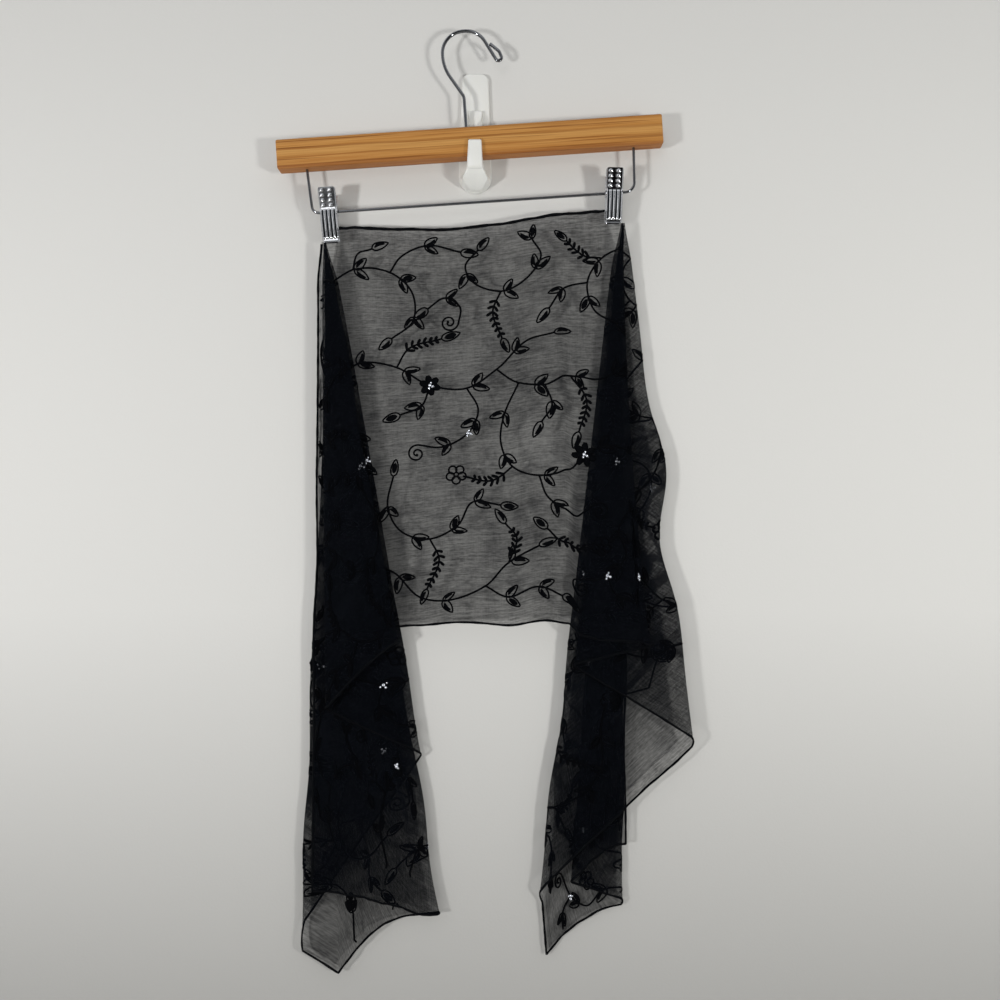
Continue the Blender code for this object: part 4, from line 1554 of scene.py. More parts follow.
    def vine(self, vine: Vine) -> list[Stroke]:
        """A stem with its leaves and its end.

        Args:
            vine: its row of the table.

        Returns:
            Strokes on the flat cloth.
        """
        route = resampled(curve_through(vine.through), self.step)
        strokes = [Stroke(route, np.full(len(route), self.stem))]
        last = len(route) - 1
        for share in vine.leaves:
            i = int(round(share * last))
            ahead = route[min(i + 2, last)] - route[max(i - 2, 0)]
            strokes += self.pair(route[i], math.atan2(ahead[1], ahead[0]))
        if vine.barbs:
            strokes += self.barbs(route, *vine.barbs)
        first_end = (vine.start, route[0], route[0] - route[2])
        last_end = (vine.end, route[-1], route[-1] - route[-3])
        for kind, place, ahead in (first_end, last_end):
            heading = math.atan2(ahead[1], ahead[0])
            if kind is End.BUD:
                strokes += self.leaf(place, heading, 1.12)
            elif kind is End.PAIR:
                strokes += self.pair(place, heading)
            elif kind is End.SPIRAL:
                strokes += self.spiral(place, heading, vine.hand)
        return strokes

    def repeat_strokes(self) -> list[Stroke]:
        """One repeat of the design, the same each time it is asked for.

        Returns:
            Strokes on the flat cloth.
        """
        self.dice = np.random.default_rng(self.seed)
        strokes = []
        for vine in self.VINES:
            strokes += self.vine(vine)
        for flower in self.BLOSSOMS:
            strokes += self.blossom(flower)
        return strokes

    def moved(self, route: Array, tile: int) -> Array:
        """A route of the first repeat, moved to another; every second one is turned over.

        Args:
            route: its points.
            tile: the number of the other repeat.

        Returns:
            The moved points.
        """
        along = route[:, 0]
        if tile % 2:
            along = self.repeat - self.overhang - along
        return np.stack([along + tile * self.repeat, route[:, 1]], 1)

    def inside(self, route: Array) -> Array:
        """Which points of a route lie on the cloth, clear of its hem.

        Args:
            route: points of the flat cloth.

        Returns:
            True or false for each.
        """
        span = self.drape.SPAN
        left, right = self.drape.LEFT, self.drape.RIGHT
        along, down = route[:, 0], route[:, 1]
        low = blend(left.width, right.width, np.clip(along / span, 0.0, 1.0)) - self.hem_clear
        top = np.where((along < 0.0) | (along > span), self.top_clear, self.panel_top)
        ends = (along > self.hem_clear - left.length) & (along < span + right.length - self.hem_clear)
        return (down < low) & (down > top) & ends

    def part(self, tiles: Iterable[int]) -> Part:
        """The thread of some repeats, as tubes that lie on both faces of the cloth.

        Args:
            tiles: the numbers of the repeats.

        Returns:
            The tubes.
        """
        routes = []
        widths = []
        base = self.repeat_strokes()
        for tile in tiles:
            for stroke in base:
                route = self.moved(stroke.route, tile)
                fine = resampled(route, self.step)
                wide = np.interp(lengths_along(fine), lengths_along(route), stroke.wide)
                kept = self.inside(fine)
                cuts = np.flatnonzero(np.diff(kept.astype(int))) + 1
                for run in np.split(np.arange(len(fine)), cuts):
                    if kept[run[0]] and len(run) >= min(4, len(fine)):
                        routes.append(fine[run])
                        widths.append(wide[run])
        flat = np.concatenate(routes)
        ends = np.cumsum([len(route) for route in routes])[:-1]
        hung = np.split(self.drape.hang(flat), ends)
        normals = np.split(self.drape.normals(flat), ends)
        return joined([tube(h, n, w, self.rise, 6) for h, n, w in zip(hung, normals, widths)])

    def bead_places(self) -> list[tuple[Array, float]]:
        """Where beads and sequins are sewn on the flat cloth, each with its size.

        Returns:
            Each place, with the bead's radius.
        """
        found = []
        for tile in range(-3, 4):
            middles = [flower.at for flower in self.BLOSSOMS if flower.filled] + list(self.SEQUINS)
            for middle in middles:
                for aside, size in self.CLUSTER:
                    found.append((self.moved(np.array([middle], float) + aside, tile), size))
        return [(route, size) for route, size in found if self.inside(route).all()]

    def beads(self) -> Part:
        """Cut beads that stand on the front of the cloth.

        Returns:
            All the beads.
        """
        made = []
        places = self.bead_places()
        flat = np.concatenate([route for route, size in places])
        centres = self.drape.hang(flat)
        for centre, normal, (route, size) in zip(centres, self.drape.normals(flat), places):
            if normal[1] > 0.0:
                normal = -normal
            side = unit(np.cross(normal, [0.0, 0.0, 1.0]))
            other = np.cross(normal, side)
            rings = []
            for height, radius in self.BEAD_RINGS:
                turn = 2.0 * np.pi * np.arange(self.bead_sides) / self.bead_sides
                ring = np.cos(turn)[:, None] * side + np.sin(turn)[:, None] * other
                rings.append(centre + size * (radius * ring + height * normal))
            spread = np.meshgrid(np.arange(self.bead_sides + 1) * 0.4, np.arange(len(rings)) * 0.5)
            part = grid_part(np.array(rings), np.stack(spread, -1).astype(float), closed=True)
            made.append(ends_capped(part, self.bead_sides))
        return joined(made)


# Hanger


@dataclass(frozen=True)
class HangerFrame:
    """The tilted frame that the bar, the wires and the clips are built in."""

    centre: tuple[float, float, float] = (-4.5, -16.0, -19.2)
    tilt: float = 3.85

    def place(self, points: Array) -> Array:
        """Points of the hanger's frame, in the part's frame.

        Args:
            points: x, y and z last.

        Returns:
            The moved points.
        """
        c, s = math.cos(math.radians(self.tilt)), math.sin(math.radians(self.tilt))
        x, y, z = points[..., 0], points[..., 1], points[..., 2]
        across, deep, high = self.centre
        return np.stack([across + x * c - z * s, deep + y, high + x * s + z * c], -1)


def rounded_route(corners: Sequence[tuple[float, float, float]], step: float = 5.0) -> Array:
    """A route in the XZ plane with each corner (x, z, radius) rounded by an arc.

    Args:
        corners: the route's corners, of radius 0 at its ends.
        step: degrees between the points of an arc.

    Returns:
        Points of x and z.
    """
    route = [np.array(corners[0][:2], float)]
    for before, corner, after in zip(corners, corners[1:], corners[2:]):
        here = np.array(corner[:2], float)
        back = unit(np.array(before[:2]) - here)
        ahead = unit(np.array(after[:2]) - here)
        turn = math.pi - math.acos(float(np.clip(back @ ahead, -1.0, 1.0)))
        start = here + back * corner[2] * math.tan(turn / 2.0)
        end = here + ahead * corner[2] * math.tan(turn / 2.0)
        centre = here + unit(back + ahead) * corner[2] / math.cos(turn / 2.0)
        other = (end - centre - (start - centre) * math.cos(turn)) / math.sin(turn)
        for angle in np.linspace(0.0, turn, max(2, round(math.degrees(turn) / step)) + 1):
            route.append(centre + (start - centre) * math.cos(angle) + other * math.sin(angle))
    route.append(np.array(corners[-1][:2], float))
    return np.array(route)


@dataclass
class BambooBar:
    """The hanger's bar: a planed board with rounded edges."""

    frame: HangerFrame
    length: float = 356.0
    height: float = 27.0
    thickness: float = 13.0
    edge: float = 1.8
    lift: float = 3.15

    def outline(self, inset: float) -> Array:
        """The bar's outline from the end, drawn in by an inset, as (y, z) points.

        Args:
            inset: how far, in millimetres.

        Returns:
            The points, corner by corner.
        """
        corner = max(self.edge - inset, 0.4)
        half_y = self.thickness / 2.0 - inset - corner
        half_z = self.height / 2.0 - inset - corner
        points = []
        for quarter, (sy, sz) in enumerate(((1, 1), (-1, 1), (-1, -1), (1, -1))):
            for turn in np.linspace(0.0, np.pi / 2.0, 8) + quarter * np.pi / 2.0:
                aside = (corner * math.cos(turn), corner * math.sin(turn))
                points.append((sy * half_y + aside[0], sz * half_z + aside[1]))
        return np.array(points)

    def part(self) -> Part:
        """Outlines along the bar, drawn in at its rounded ends; the flat map unrolls its faces.

        Returns:
            The bar.
        """
        half = self.length / 2.0
        turns = np.linspace(0.0, np.pi / 2.0, 7)
        edge = self.edge
        ends = [(-half + edge * (1.0 - math.sin(a)), edge * (1.0 - math.cos(a))) for a in turns[::-1]]
        places = ends + [(x, 0.0) for x in np.linspace(-half + self.edge, half - self.edge, 24)[1:-1]]
        places += [(-x, inset) for x, inset in ends[::-1]]
        rings = []
        for x, inset in places:
            outline = self.outline(inset)
            rings.append(np.column_stack([np.full(len(outline), x), outline]))
        points = np.array(rings) + [0.0, 0.0, self.lift]
        around = np.concatenate([lengths_along(self.outline(0.0)), [0.0]])
        around[-1] = around[-2] + 1.0
        flat = np.stack(np.broadcast_arrays(points[:, :1, 0], around[None, :]), -1)
        return ends_capped(grid_part(self.frame.place(points), flat, closed=True), points.shape[1])


@dataclass
class Wires:
    """The swivel hook and the rod that carries the clips."""

    frame: HangerFrame
    bar_height: float = 27.0
    bar_lift: float = 3.15
    hook_wire: float = 3.0
    rod_wire: float = 2.5
    hook_sunk: float = 14.0
    leg_sunk: float = 8.0
    rod_drop: float = 51.0

    def hook_route(self) -> Array:
        """Neck, kink, round crook and a tip that curls back.

        Returns:
            Points of x and z in the hanger's frame.
        """
        neck = self.bar_lift + self.bar_height / 2.0 - self.hook_sunk
        crook = (-19.6, 107.8, 20.2)
        shank = ((-2.1, neck, 0.0), (-2.4, 47.5, 8.0), (crook[0], 75.5, 38.0))
        bow = (crook, (14.6, crook[1], 19.5))
        curl = ((30.6, 77.8, 2.6), (35.4, 79.6, 2.6), (33.0, 87.0, 5.0), (25.0, 94.4, 0.0))
        return rounded_route(shank + bow + curl)

    def rod_route(self) -> Array:
        """Two splayed legs and the straight run between them.

        Returns:
            Points of x and z in the hanger's frame.
        """
        top = self.bar_lift - self.bar_height / 2.0 + self.leg_sunk
        low = -self.rod_drop
        bends = ((-149.3, low, 6.5), (149.3, low, 9.0))
        return rounded_route(((-152.3, top, 0.0), *bends, (151.4, top, 0.0)))

    def part(self, route: Array, diameter: float) -> Part:
        """A round wire along a route in the hanger's frame.

        Args:
            route: points of x and z.
            diameter: the wire's.

        Returns:
            The wire.
        """
        route = resampled(route, 1.5)
        points = self.frame.place(np.column_stack([route[:, 0], np.zeros(len(route)), route[:, 1]]))
        normals = np.broadcast_to([0.0, -1.0, 0.0], points.shape)
        return tube(points, normals, diameter / 2.0, diameter / 2.0, 20)


@dataclass
class HangerClip:
    """One sprung clip: ribbed front jaw, plainer rear jaw and the coil between them."""

    frame: HangerFrame
    side: str
    across: float
    lean: float
    width: float = 16.0
    sheet: float = 0.9
    rod_drop: float = 51.0
    rib_rise: float = 0.85
    bump_rise: float = 0.75
    corner: float = 1.6
    turn_in: float = 1.3
    rear_inset: float = 1.2
    rear_relief: float = 0.55
    ribs: int = 4
    columns: int = 96
    rows: int = 120

    PROFILE = (
        (19.4, 9.9), (14.0, 8.5), (8.0, 6.9), (2.5, 5.6), (0.5, 5.3),
        (-8.0, 4.9), (-17.0, 3.5), (-24.5, 1.9), (-26.5, 1.35), (-28.3, 1.6),
    )
    BUMP_ROWS = (16.6, 12.4, 8.3, 4.2)
    BUMP_COLUMNS = (-4.2, 3.0)

    def place(self, points: Array) -> Array:
        """Points of the clip's own frame, in the part's frame.

        Args:
            points: x, y and z last.

        Returns:
            The moved points.
        """
        c, s = math.cos(math.radians(self.lean)), math.sin(math.radians(self.lean))
        x, y, z = points[..., 0], points[..., 1], points[..., 2]
        turned = np.stack([self.across + x * c - z * s, y, x * s + z * c - self.rod_drop], -1)
        return self.frame.place(turned)

    def relief(self, across: Array, height: Array) -> tuple[Array, Array]:
        """How far the stamped ribs and bumps stand out of the sheet, and where it is hollow between them,
        to be painted as shade.

        Args:
            across: places across the jaw.
            height: their heights over the rod.

        Returns:
            The rise in millimetres, and a share from 0 to 1 of painted shade.
        """
        pitch = (self.width - 1.6) / self.ribs
        phase = (across / pitch + (0.5 if self.ribs % 2 == 0 else 0.0)) % 1.0 - 0.5
        rib = np.cos(np.pi * np.clip(phase, -0.5, 0.5)) ** 1.3
        run = smooth((0.9 - height) / 1.4) * smooth((height + 25.6) / 1.4)
        inside = smooth((self.width / 2.0 - 0.5 - np.abs(across)) / 0.6)
        raised = self.rib_rise * rib * run * inside
        # Painted shade: the grooves between the ribs, and the flat round the bumps, are marked to be
        # painted dark
        hollow = run * smooth((0.62 - rib) / 0.24)
        bumps = np.zeros_like(raised)
        for z in self.BUMP_ROWS:
            for x in self.BUMP_COLUMNS:
                away = np.hypot((across - x) / 2.5, (height - z) / 1.7)
                bumps = np.maximum(bumps, np.cos(np.pi / 2.0 * np.clip(away, 0.0, 1.0)))
        above = smooth((height - 1.6) / 1.0) * smooth((self.width / 2.0 - 0.4 - np.abs(across)) / 0.8)
        hollow = np.maximum(hollow, 0.72 * above * smooth((0.55 - bumps) / 0.3))
        return raised + self.bump_rise * bumps, hollow

    def jaw(self, front: int) -> Part:
        """A stamped jaw with rounded corners, its two side flanges turned in towards the rod.

        Args:
            front: -1 for the front jaw, 1 for the rear one.

        Returns:
            The jaw with its ears.
        """
        table = np.array(self.PROFILE)[::-1]
        heights = np.linspace(table[0, 0], table[-1, 0], self.rows)
        off = np.interp(heights, table[:, 0], table[:, 1])
        off = np.convolve(np.pad(off, 3, mode="edge"), np.ones(7) / 7.0, mode="valid")
        inset = 0.0 if front < 0 else self.rear_inset
        half = self.width / 2.0 - inset
        top, low = heights[-1], heights[0]
        corner = self.corner
        near_end = np.maximum(corner - np.minimum(top - heights, heights - low), 0.0)
        half_here = half - (corner - np.sqrt(np.maximum(corner**2 - near_end**2, 0.0)))
        share = np.linspace(-1.0, 1.0, self.columns)
        across = share[None, :] * half_here[:, None]
        height = np.broadcast_to(heights[:, None], across.shape)
        turned_in = self.turn_in * smooth((np.abs(across) - (half - 1.5)) / 1.5)
        rise, hollow = self.relief(across, height)
        rise = rise * (1.0 if front < 0 else self.rear_relief)
        skins = []
        for sign, lifted in ((1.0, rise), (-1.0, rise * 0.85)):
            depth = front * (off[:, None] + sign * self.sheet / 2.0 + lifted - turned_in)
            skins.append(np.stack([across, depth, height], -1))
        loop = np.concatenate([skins[0], skins[1][:, ::-1]], 1)
        columns = loop.shape[1]
        run = np.arange(columns + 1) * self.width / self.columns
        flat = np.stack(np.broadcast_arrays(run[None, :], heights[:, None]), -1)
        # Only the jaw's outer skin gets the painted shade
        shade = np.concatenate([hollow, np.zeros_like(hollow)], 1)
        part = grid_part(self.place(loop), flat, closed=True)._replace(hollow=shade.ravel())
        ears = [self.ear(front, sign, half) for sign in (-1, 1)]
        return joined([ends_capped(part, columns, front < 0)] + ears)

    def ear(self, front: int, side: int, half: float) -> Part:
        """A flange that the rod passes through, as a rounded plate beside the coil.

        Args:
            front: as for the jaw.
            side: -1 or 1.
            half: half the jaw's width.

        Returns:
            The plate.
        """
        outer = side * (half - 0.05)
        inner = outer - side * self.sheet
        turn = np.linspace(0.0, 2.0 * np.pi, 41)[:-1]
        reach = np.where(np.sin(turn) * front > 0, 5.4, 2.9)
        ring = np.stack([np.sin(turn) * reach, np.cos(turn) * 4.6], 1)
        hole = np.stack([np.sin(turn), np.cos(turn)], 1) * 1.55
        loops = [(outer, ring), (inner, ring), (inner, hole), (outer, hole), (outer, ring)]
        points = np.array([np.column_stack([np.full(40, x), loop]) for x, loop in loops])
        flat = np.stack(np.meshgrid(np.arange(41) * 0.5, np.arange(5) * 1.5), -1).astype(float)
        return grid_part(self.place(points), flat, closed=True)

    def spring(self) -> Part:
        """A coil of round wire about the rod, with two legs that push the jaws apart at the top.

        Returns:
            The wire.
        """
        half = 4.5
        turns = 7.0
        wire = 1.1
        radius = 2.75
        angle = np.linspace(0.0, 2.0 * np.pi * turns, int(turns * 26))
        across = blend(-half, half, angle / angle[-1])
        coil = np.column_stack([across, radius * np.sin(angle), radius * np.cos(angle)])
        leg = np.linspace(0.0, 1.0, 12)[1:, None]
        first = coil[0] + leg[::-1] * (np.array([-half, -5.6, 11.0]) - coil[0])
        last = coil[-1] + leg * (np.array([half, 5.6, 11.0]) - coil[-1])
        route = np.concatenate([first, coil, last])
        along = unit(np.gradient(route, axis=0))
        guide = np.broadcast_to([1.0, 0.0, 0.0], route.shape)
        normals = unit(guide - along * np.sum(guide * along, axis=1, keepdims=True))
        placed = self.place(route)
        return tube(placed, self.place(route + normals) - placed, wire / 2.0, wire / 2.0, 10)


# Wall hook


@dataclass
class WallHook:
    """A white stick-on hook: a long plate and an arm that turns up in a tongue."""

    plate_height: float = 112.0
    top_width: float = 25.0
    low_width: float = 31.0
    plate_thick: float = 4.0
    rim: float = 1.4
    arm_width: float = 13.0
    arm_middle: float = 0.3

    # Down the arm's foot: height, and how far its middle stands out from the wall
    FOOT = (
        (-30.0, -24.0), (-40.0, -25.4), (-43.0, -24.6), (-46.0, -22.4),
        (-49.0, -19.0), (-52.0, -14.6), (-54.0, -11.0), (-55.6, -7.0),
    )

    def plate_outline(self) -> Array:
        """The plate from the front, as (x, z) points.

        Returns:
            The points, once round.
        """
        top = self.plate_height / 2.0
        corner = 7.0
        points = []
        for side, start in ((1, 0.0), (-1, 90.0)):
            for turn in np.radians(np.linspace(start, start + 90.0, 14)):
                middle = side * (self.top_width / 2.0 - corner)
                points.append((middle + corner * math.cos(turn), top - corner + corner * math.sin(turn)))
        foot = self.low_width / 2.0
        for turn in np.radians(np.linspace(180.0, 360.0, 38)):
            points.append((foot * math.cos(turn), -top + foot + foot * math.sin(turn)))
        return np.array(points)

    def plate(self) -> Part:
        """The plate with its rounded rim.

        Returns:
            The plate.
        """
        outline = self.plate_outline()
        after = np.roll(outline, -1, axis=0) - np.roll(outline, 1, axis=0)
        inward = unit(np.column_stack([-after[:, 1], after[:, 0]]))
        levels = [(0.0, 0.0)]
        for turn in np.linspace(0.0, np.pi / 2.0, 7):
            inset, rise = self.rim * (1.0 - math.cos(turn)), self.rim * (1.0 - math.sin(turn))
            levels.append((inset, -self.plate_thick + rise))
        rings = [(outline + inward * inset, y) for inset, y in levels]
        made = [np.column_stack([ring[:, 0], np.full(len(ring), y), ring[:, 1]]) for ring, y in rings]
        points = np.array(made)
        around = lengths_along(np.vstack([outline, outline[:1]]))
        flat = np.stack(np.broadcast_arrays(around[None, :], np.arange(len(points))[:, None] * 1.0), -1)
        return ends_capped(grid_part(points, flat, closed=True), points.shape[1])

    def arm_outline(self) -> Array:
        """The arm from the side, as (y, z) points: pad, seat under the bar, and tongue.

        Returns:
            The points, once round.
        """
        back = -self.plate_thick - 0.3
        corners = (
            (back, -36.0), (-12.0, -41.0), (-20.0, -42.6), (-24.6, -43.2), (-26.8, -41.6), (-27.3, -38.0),
            (-27.3, -24.0), (-27.0, -18.0), (-25.2, -15.6), (-23.6, -16.6), (-23.0, -20.0), (-23.0, -28.7),
            (-21.9, -30.0), (-16.0, -30.0), (-10.2, -30.0), (-9.1, -28.7), (-9.1, -20.0), (-9.1, 0.0),
            (-9.1, 14.0), (-8.2, 18.6), (-6.4, 20.0), (back, 20.0),
        )
        return np.array(corners, float)

    def arm(self) -> Part:
        """Slices across the arm, drawn in at its sides, and the base that it grows out of.

        Returns:
            The arm.
        """
        outline = resampled(np.vstack([self.arm_outline(), self.arm_outline()[:1]]), 1.2)[:-1]
        if len(outline) % 2:
            outline = resampled(np.vstack([outline, outline[:1]]), 1.18)[:-1][: len(outline) // 2 * 2]
        after = np.roll(outline, -1, axis=0) - np.roll(outline, 1, axis=0)
        inward = unit(np.column_stack([-after[:, 1], after[:, 0]]))
        centre = outline.mean(axis=0)
        if np.sum(inward * (centre - outline)) < 0:
            inward = -inward
        before_bar = smooth((-21.0 - outline[:, 0]) / 2.0)
        taper = 0.45 - 0.9 * smooth((-17.0 - outline[:, 1]) / 22.0)
        half = self.arm_width / 2.0 - before_bar * taper
        edge = 1.5
        rings = []
        for turn in np.linspace(-np.pi / 2.0, np.pi / 2.0, 15):
            inset = edge * (1.0 - math.cos(turn)) * 0.9
            reach = math.sin(turn)
            across = np.sign(reach) * (half - edge + edge * abs(reach)) * (abs(reach) > 1e-6)
            rings.append(np.column_stack([self.arm_middle + across, outline + inward * inset]))
        points = np.array(rings)
        run = lengths_along(np.vstack([outline, outline[:1]]))
        flat = np.stack(np.broadcast_arrays(run[None, :], np.arange(len(points))[:, None] * 1.0), -1)
        part = ends_capped(grid_part(points, flat, closed=True), points.shape[1])
        return joined([part, self.base()])

    def base(self) -> Part:
        """The arm's foot: as deep as the tongue in its middle, and hollowed out to the plate's round end.

        Returns:
            The foot.
        """
        centre = -self.plate_height / 2.0 + self.low_width / 2.0
        heights = np.linspace(-31.0, -55.6, 34)
        below = np.minimum(heights - centre, 0.0)
        limit = 0.97 * np.sqrt(np.maximum((self.low_width / 2.0) ** 2 - below**2, 4.0))
        half = np.minimum(limit, 8.2 + 6.6 * smooth((-33.5 - heights) / 11.0))
        table = np.array(self.FOOT)
        front = np.interp(-heights, -table[:, 0], table[:, 1])
        flat_half = np.minimum(0.93 * half, 6.9 + 7.0 * smooth((-41.0 - heights) / 12.0))
        share = np.linspace(-1.0, 1.0, 45)
        across = share[None, :] * half[:, None]
        past = np.clip((np.abs(across) - flat_half[:, None]) / (half - flat_half)[:, None], 0.0, 1.0)
        hollow = (1.0 - smooth(past * 0.85 + 0.02)) ** 1.5 * (1.0 - past) ** 0.25
        depth = -self.plate_thick - 0.1 + (front + self.plate_thick)[:, None] * hollow
        tall = np.broadcast_to(heights[:, None], across.shape)
        skin = np.stack([self.arm_middle * (1.0 - past) + across, depth, tall], -1)
        behind = skin[:, [-1, 0]] * [0.9, 0.0, 1.0] + [0.0, -self.plate_thick - 0.05, 0.0]
        loop = np.concatenate([skin, behind[:, :1]], 1)
        run = np.arange(loop.shape[1] + 1) * 0.7
        flat = np.stack(np.broadcast_arrays(run[None, :], heights[:, None]), -1)
        return ends_capped(grid_part(loop, flat, closed=True), loop.shape[1], reverse_first=False)


# Studio


@dataclass
class Studio:
    """Plain pale wall and floor, soft lights from both sides, and the camera of the photograph."""

    camera_at: tuple[float, float, float] = (0.0233, -0.710, -0.3455)
    sensor: float = 36.0
    lens: float = 26.99
    wall_gap: float = 0.0004
    floor_z: float = -1.10
    wall: str = "#DFDEDB"
    # Painted shade: the colour that the wall and floor are painted towards the bottom, where less light
    # reaches
    painted_low_shade: str = "#AFAEAB"
    room_light: float = 0.96
    glow: float = 2.0
    glow_towards: tuple[float, float, float] = (-0.30, -0.94, 0.10)
    half_wide: float = 2.2
    wall_top: float = 1.6
    floor_front: float = -3.0

    ROOM = ((0.0, "#2E2E2E"), (0.40, "#7E7F80"), (0.60, "#B4B5B7"), (0.80, "#F4F5F7"), (1.0, "#FFFFFF"))
    # Each lamp: name, place, where it points, size, power and colour
    LAMPS = (
        ("left_lamp", (-0.78, -0.92, -0.50), (0.0, 0.0, 0.45), 0.12, 6.1, "#FFFFFE"),
        ("right_lamp", (0.84, -0.92, -0.50), (0.0, 0.0, 0.45), 0.14, 5.8, "#FFFFFC"),
    )

    def add_camera(self) -> None:
        """The camera looks straight at the wall."""
        data = bpy.data.cameras.new("camera")
        data.sensor_width = self.sensor
        data.lens = self.lens
        data.clip_start = 0.01
        item = bpy.data.objects.new("camera", data)
        item.location = self.camera_at
        item.rotation_euler = (math.radians(90.0), 0.0, 0.0)
        bpy.context.collection.objects.link(item)
        bpy.context.scene.camera = item

    def surface(self, name: str, corners: Sequence[Sequence[float]], material: bpy.types.Material) -> None:
        """A flat stage surface from four corners in metres.

        Args:
            name: its name.
            corners: its corners.
            material: its finish.
        """
        mesh = bpy.data.meshes.new(name)
        mesh.from_pydata(corners, [], [(0, 1, 2, 3)])
        mesh.materials.append(material)
        item = bpy.data.objects.new(name, mesh)
        bpy.context.collection.objects.link(item)

    def paint(self) -> bpy.types.Material:
        """Matt wall paint with painted shade that darkens it towards the bottom, clear from behind so that
        the back of the object can be looked at.

        Returns:
            The material.
        """
        made = bpy.data.materials.new("matt_emulsion")
        made.use_nodes = True
        tree = made.node_tree
        shader = tree.nodes["Principled BSDF"]
        place = add_node(tree, "ShaderNodeNewGeometry")
        parts = add_node(tree, "ShaderNodeSeparateXYZ", {0: place.outputs["Position"]})
        # Painted shade: the paint goes darker towards the bottom, as the light falls off there
        height = add_node(
            tree, "ShaderNodeMapRange", {0: parts.outputs[2], 1: -0.95, 2: -0.45, 3: 0.0, 4: 1.0}
        )
        shade = Finish.ramp(tree, height.outputs[0], ((0.0, self.painted_low_shade), (1.0, self.wall)))
        grain = add_node(
            tree, "ShaderNodeTexNoise", {"Vector": place.outputs["Position"], "Scale": 420.0, "Detail": 3.0}
        )
        bump = add_node(
            tree, "ShaderNodeBump", {"Height": grain.outputs[0], "Distance": 0.0004, "Strength": 0.25}
        )
        looks = {
            "Roughness": 0.85,
            "Specular IOR Level": 0.2,
            "Base Color": shade,
            "Normal": bump.outputs[0],
        }
        fill(tree, shader, looks)
        clear = add_node(tree, "ShaderNodeBsdfTransparent")
        sides = {0: place.outputs["Backfacing"], 1: shader.outputs[0], 2: clear.outputs[0]}
        mixed = add_node(tree, "ShaderNodeMixShader", sides)
        tree.links.new(mixed.outputs[0], tree.nodes["Material Output"].inputs["Surface"])
        return made

    def add_light(
        self,
        name: str,
        at: Sequence[float],
        towards: Sequence[float],
        size: float,
        power: float,
        colour: str,
    ) -> None:
        """A soft square light that faces a point.

        Args:
            name: its name.
            at: where it stands.
            towards: the point.
            size: its side in metres.
            power: in watts.
            colour: a hex colour.
        """
        data = bpy.data.lights.new(name, "AREA")
        data.size = size
        data.energy = power
        data.color = linear(colour)[:3]
        item = bpy.data.objects.new(name, data)
        way = unit(np.array(towards, float) - np.array(at, float))
        pitch = math.acos(float(np.clip(-way[2], -1.0, 1.0)))
        item.location = at
        item.rotation_euler = (pitch, 0.0, math.atan2(way[1], way[0]) - math.pi / 2.0)
        bpy.context.collection.objects.link(item)

    def add_world(self) -> None:
        """The room: bright overhead, dim below, and dark in front, which chrome shows as its core."""
        world = bpy.data.worlds.new("room")
        bpy.context.scene.world = world
        world.use_nodes = True
        tree = world.node_tree
        place = add_node(tree, "ShaderNodeTexCoord")
        parts = add_node(tree, "ShaderNodeSeparateXYZ", {0: place.outputs["Generated"]})
        height = add_node(
            tree, "ShaderNodeMapRange", {0: parts.outputs[2], 1: -0.6, 2: 0.9, 3: 0.0, 4: 1.0}
        )
        room = Finish.ramp(tree, height.outputs[0], self.ROOM)
        front = add_node(
            tree, "ShaderNodeMapRange", {0: parts.outputs[1], 1: -0.95, 2: -0.60, 3: 0.03, 4: 1.0}
        )
        dimming = {0: 1.0, 6: room, 7: front.outputs[0]}
        dimmed = add_node(tree, "ShaderNodeMix", dimming, data_type="RGBA", blend_type="MULTIPLY")
        towards = {0: place.outputs["Generated"], 1: self.glow_towards}
        aim = add_node(tree, "ShaderNodeVectorMath", towards, operation="DOT_PRODUCT")
        lit = add_node(
            tree, "ShaderNodeMapRange", {0: aim.outputs["Value"], 1: 0.955, 2: 0.985, 3: 0.0, 4: self.glow}
        )
        adding = {0: 1.0, 6: dimmed.outputs[2], 7: lit.outputs[0]}
        both = add_node(tree, "ShaderNodeMix", adding, data_type="RGBA", blend_type="ADD")
        tree.links.new(both.outputs[2], tree.nodes["Background"].inputs["Color"])
        tree.nodes["Background"].inputs["Strength"].default_value = self.room_light

    def build(self) -> None:
        """Set up the whole studio."""
        bpy.context.scene.view_settings.view_transform = "Standard"
        self.add_camera()
        self.add_world()
        paint = self.paint()
        y = self.wall_gap
        half, low, top, front = self.half_wide, self.floor_z, self.wall_top, self.floor_front
        wall = ((-half, y, low), (half, y, low), (half, y, top), (-half, y, top))
        floor = ((-half, front, low), (half, front, low), (half, y, low), (-half, y, low))
        self.surface("backdrop", wall, paint)
        self.surface("floor", floor, paint)
        for lamp in self.LAMPS:
            self.add_light(*lamp)


# Build


def ridden(item: bpy.types.Object, slot: str, *nodes: str) -> bpy.types.Object:
    """Let a piece ride on the part's one body, in place of the nodes that it stands for.

    Args:
        item: the piece.
        slot: not used.
        *nodes: what it replaces.

    Returns:
        The piece.
    """
    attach(item, "root")
    if nodes:
        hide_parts(*nodes)
    LOG.info("%s: %d faces", item.name, len(item.data.polygons))
    return item


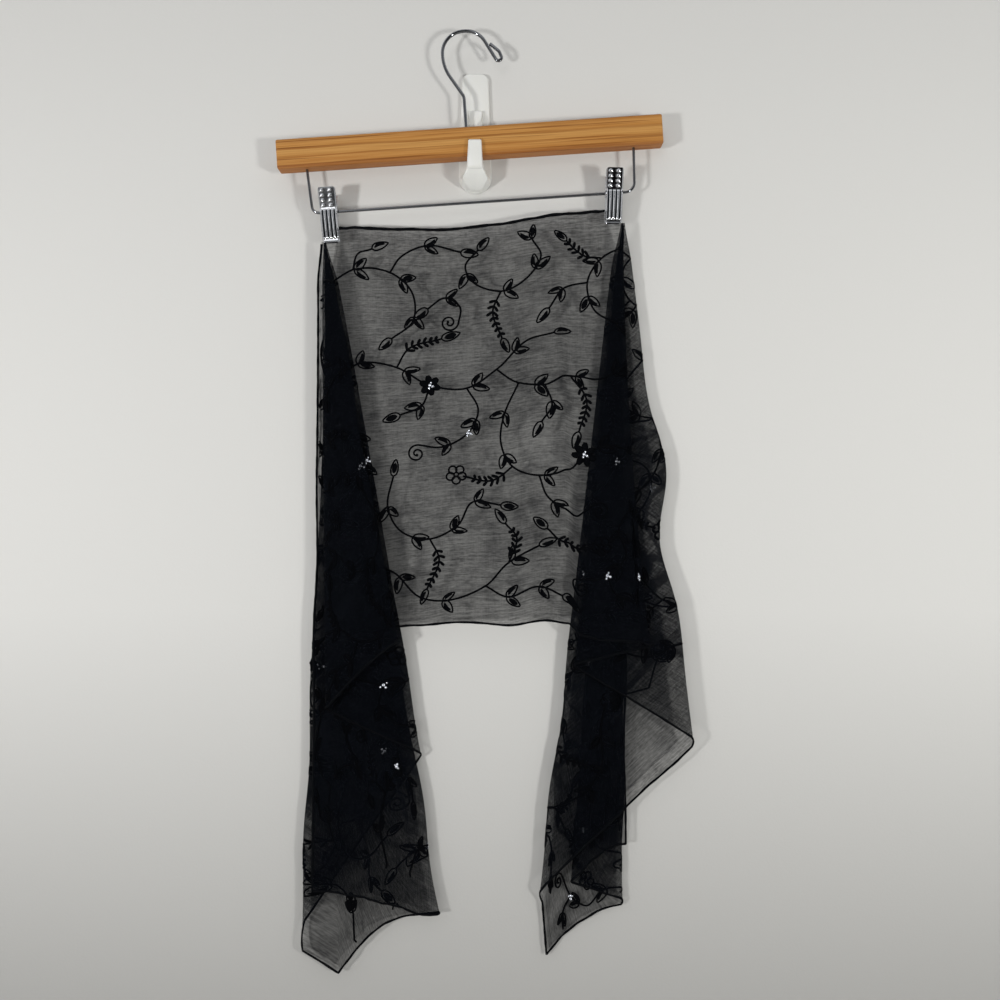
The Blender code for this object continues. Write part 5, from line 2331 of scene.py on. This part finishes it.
def build_scarf() -> None:
    """The cloth, its hem and all that is sewn on it."""
    drape = Drape()
    cloth = add_piece("scarf_cloth", ScarfCloth(drape).part(), CrinkleGeorgette().material())
    ridden(cloth, "georgette", "scarf_panel", "scarf_left_tail", "scarf_right_tail")
    hem = ridden(add_piece("rolled_hem", RolledHem(drape).part(), RolledEdge().material()), "georgette")
    sewing = Embroidery(drape)
    thread = RayonThread().material()
    for name, tiles in (("left", (-3, -2, -1)), ("panel", (0,)), ("right", (1, 2, 3))):
        ridden(add_piece(f"{name}_embroidery", sewing.part(tiles), thread), "embroidery")
    beads = add_piece("beads_and_sequins", sewing.beads(), SilveredGlass().material(), 42.0)
    ridden(beads, "sequins")


def build_hanger() -> None:
    """Bar, wires and clips."""
    frame = HangerFrame()
    bar = add_piece("bamboo_bar", BambooBar(frame).part(), LaminatedBamboo().material(), 60.0)
    ridden(bar, "bamboo", "hanger_bar")
    wires = Wires(frame)
    # Painted shade: the wire's chrome is painted darker than the stamping's, to stand in for the dark room
    # that its core reflects
    plated = ChromedSteel("chromed_wire", 0.06, 0.015, "#7E8084").material()
    stamped = ChromedSteel("chromed_stamping", 0.16, 0.04, "#D8DADE").material()
    hook = add_piece("swivel_hook", wires.part(wires.hook_route(), wires.hook_wire), plated, 60.0)
    ridden(hook, "chromed_steel", "steel_hook")
    rod = add_piece("bent_rod", wires.part(wires.rod_route(), wires.rod_wire), plated, 60.0)
    ridden(rod, "chromed_steel", "clip_rod")
    for clip in (HangerClip(frame, "left", -133.6, 0.0), HangerClip(frame, "right", 129.7, -4.6)):
        for word, front in (("front", -1), ("rear", 1)):
            jaw = add_piece(f"{clip.side}_{word}_jaw", clip.jaw(front), stamped, 50.0)
            ridden(jaw, "chromed_steel", f"{clip.side}_clip_{word}_jaw")
        spring = add_piece(f"{clip.side}_coil", clip.spring(), stamped, 60.0)
        ridden(spring, "chromed_steel", f"{clip.side}_clip_spring")


def build_wall_hook() -> None:
    """Plate and arm."""
    hook = WallHook()
    plastic = MouldedPlastic().material()
    ridden(add_piece("hook_plate", hook.plate(), plastic, 50.0), "white_plastic", "wall_plate")
    ridden(add_piece("hook_arm", hook.arm(), plastic, 50.0), "white_plastic", "wall_arm")


def main() -> None:
    """Load the frame, set up the studio and build the object on it."""
    logging.basicConfig(level=logging.INFO, format="%(message)s")
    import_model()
    Studio().build()
    build_wall_hook()
    build_hanger()
    build_scarf()


if __name__ == "__main__":
    main()
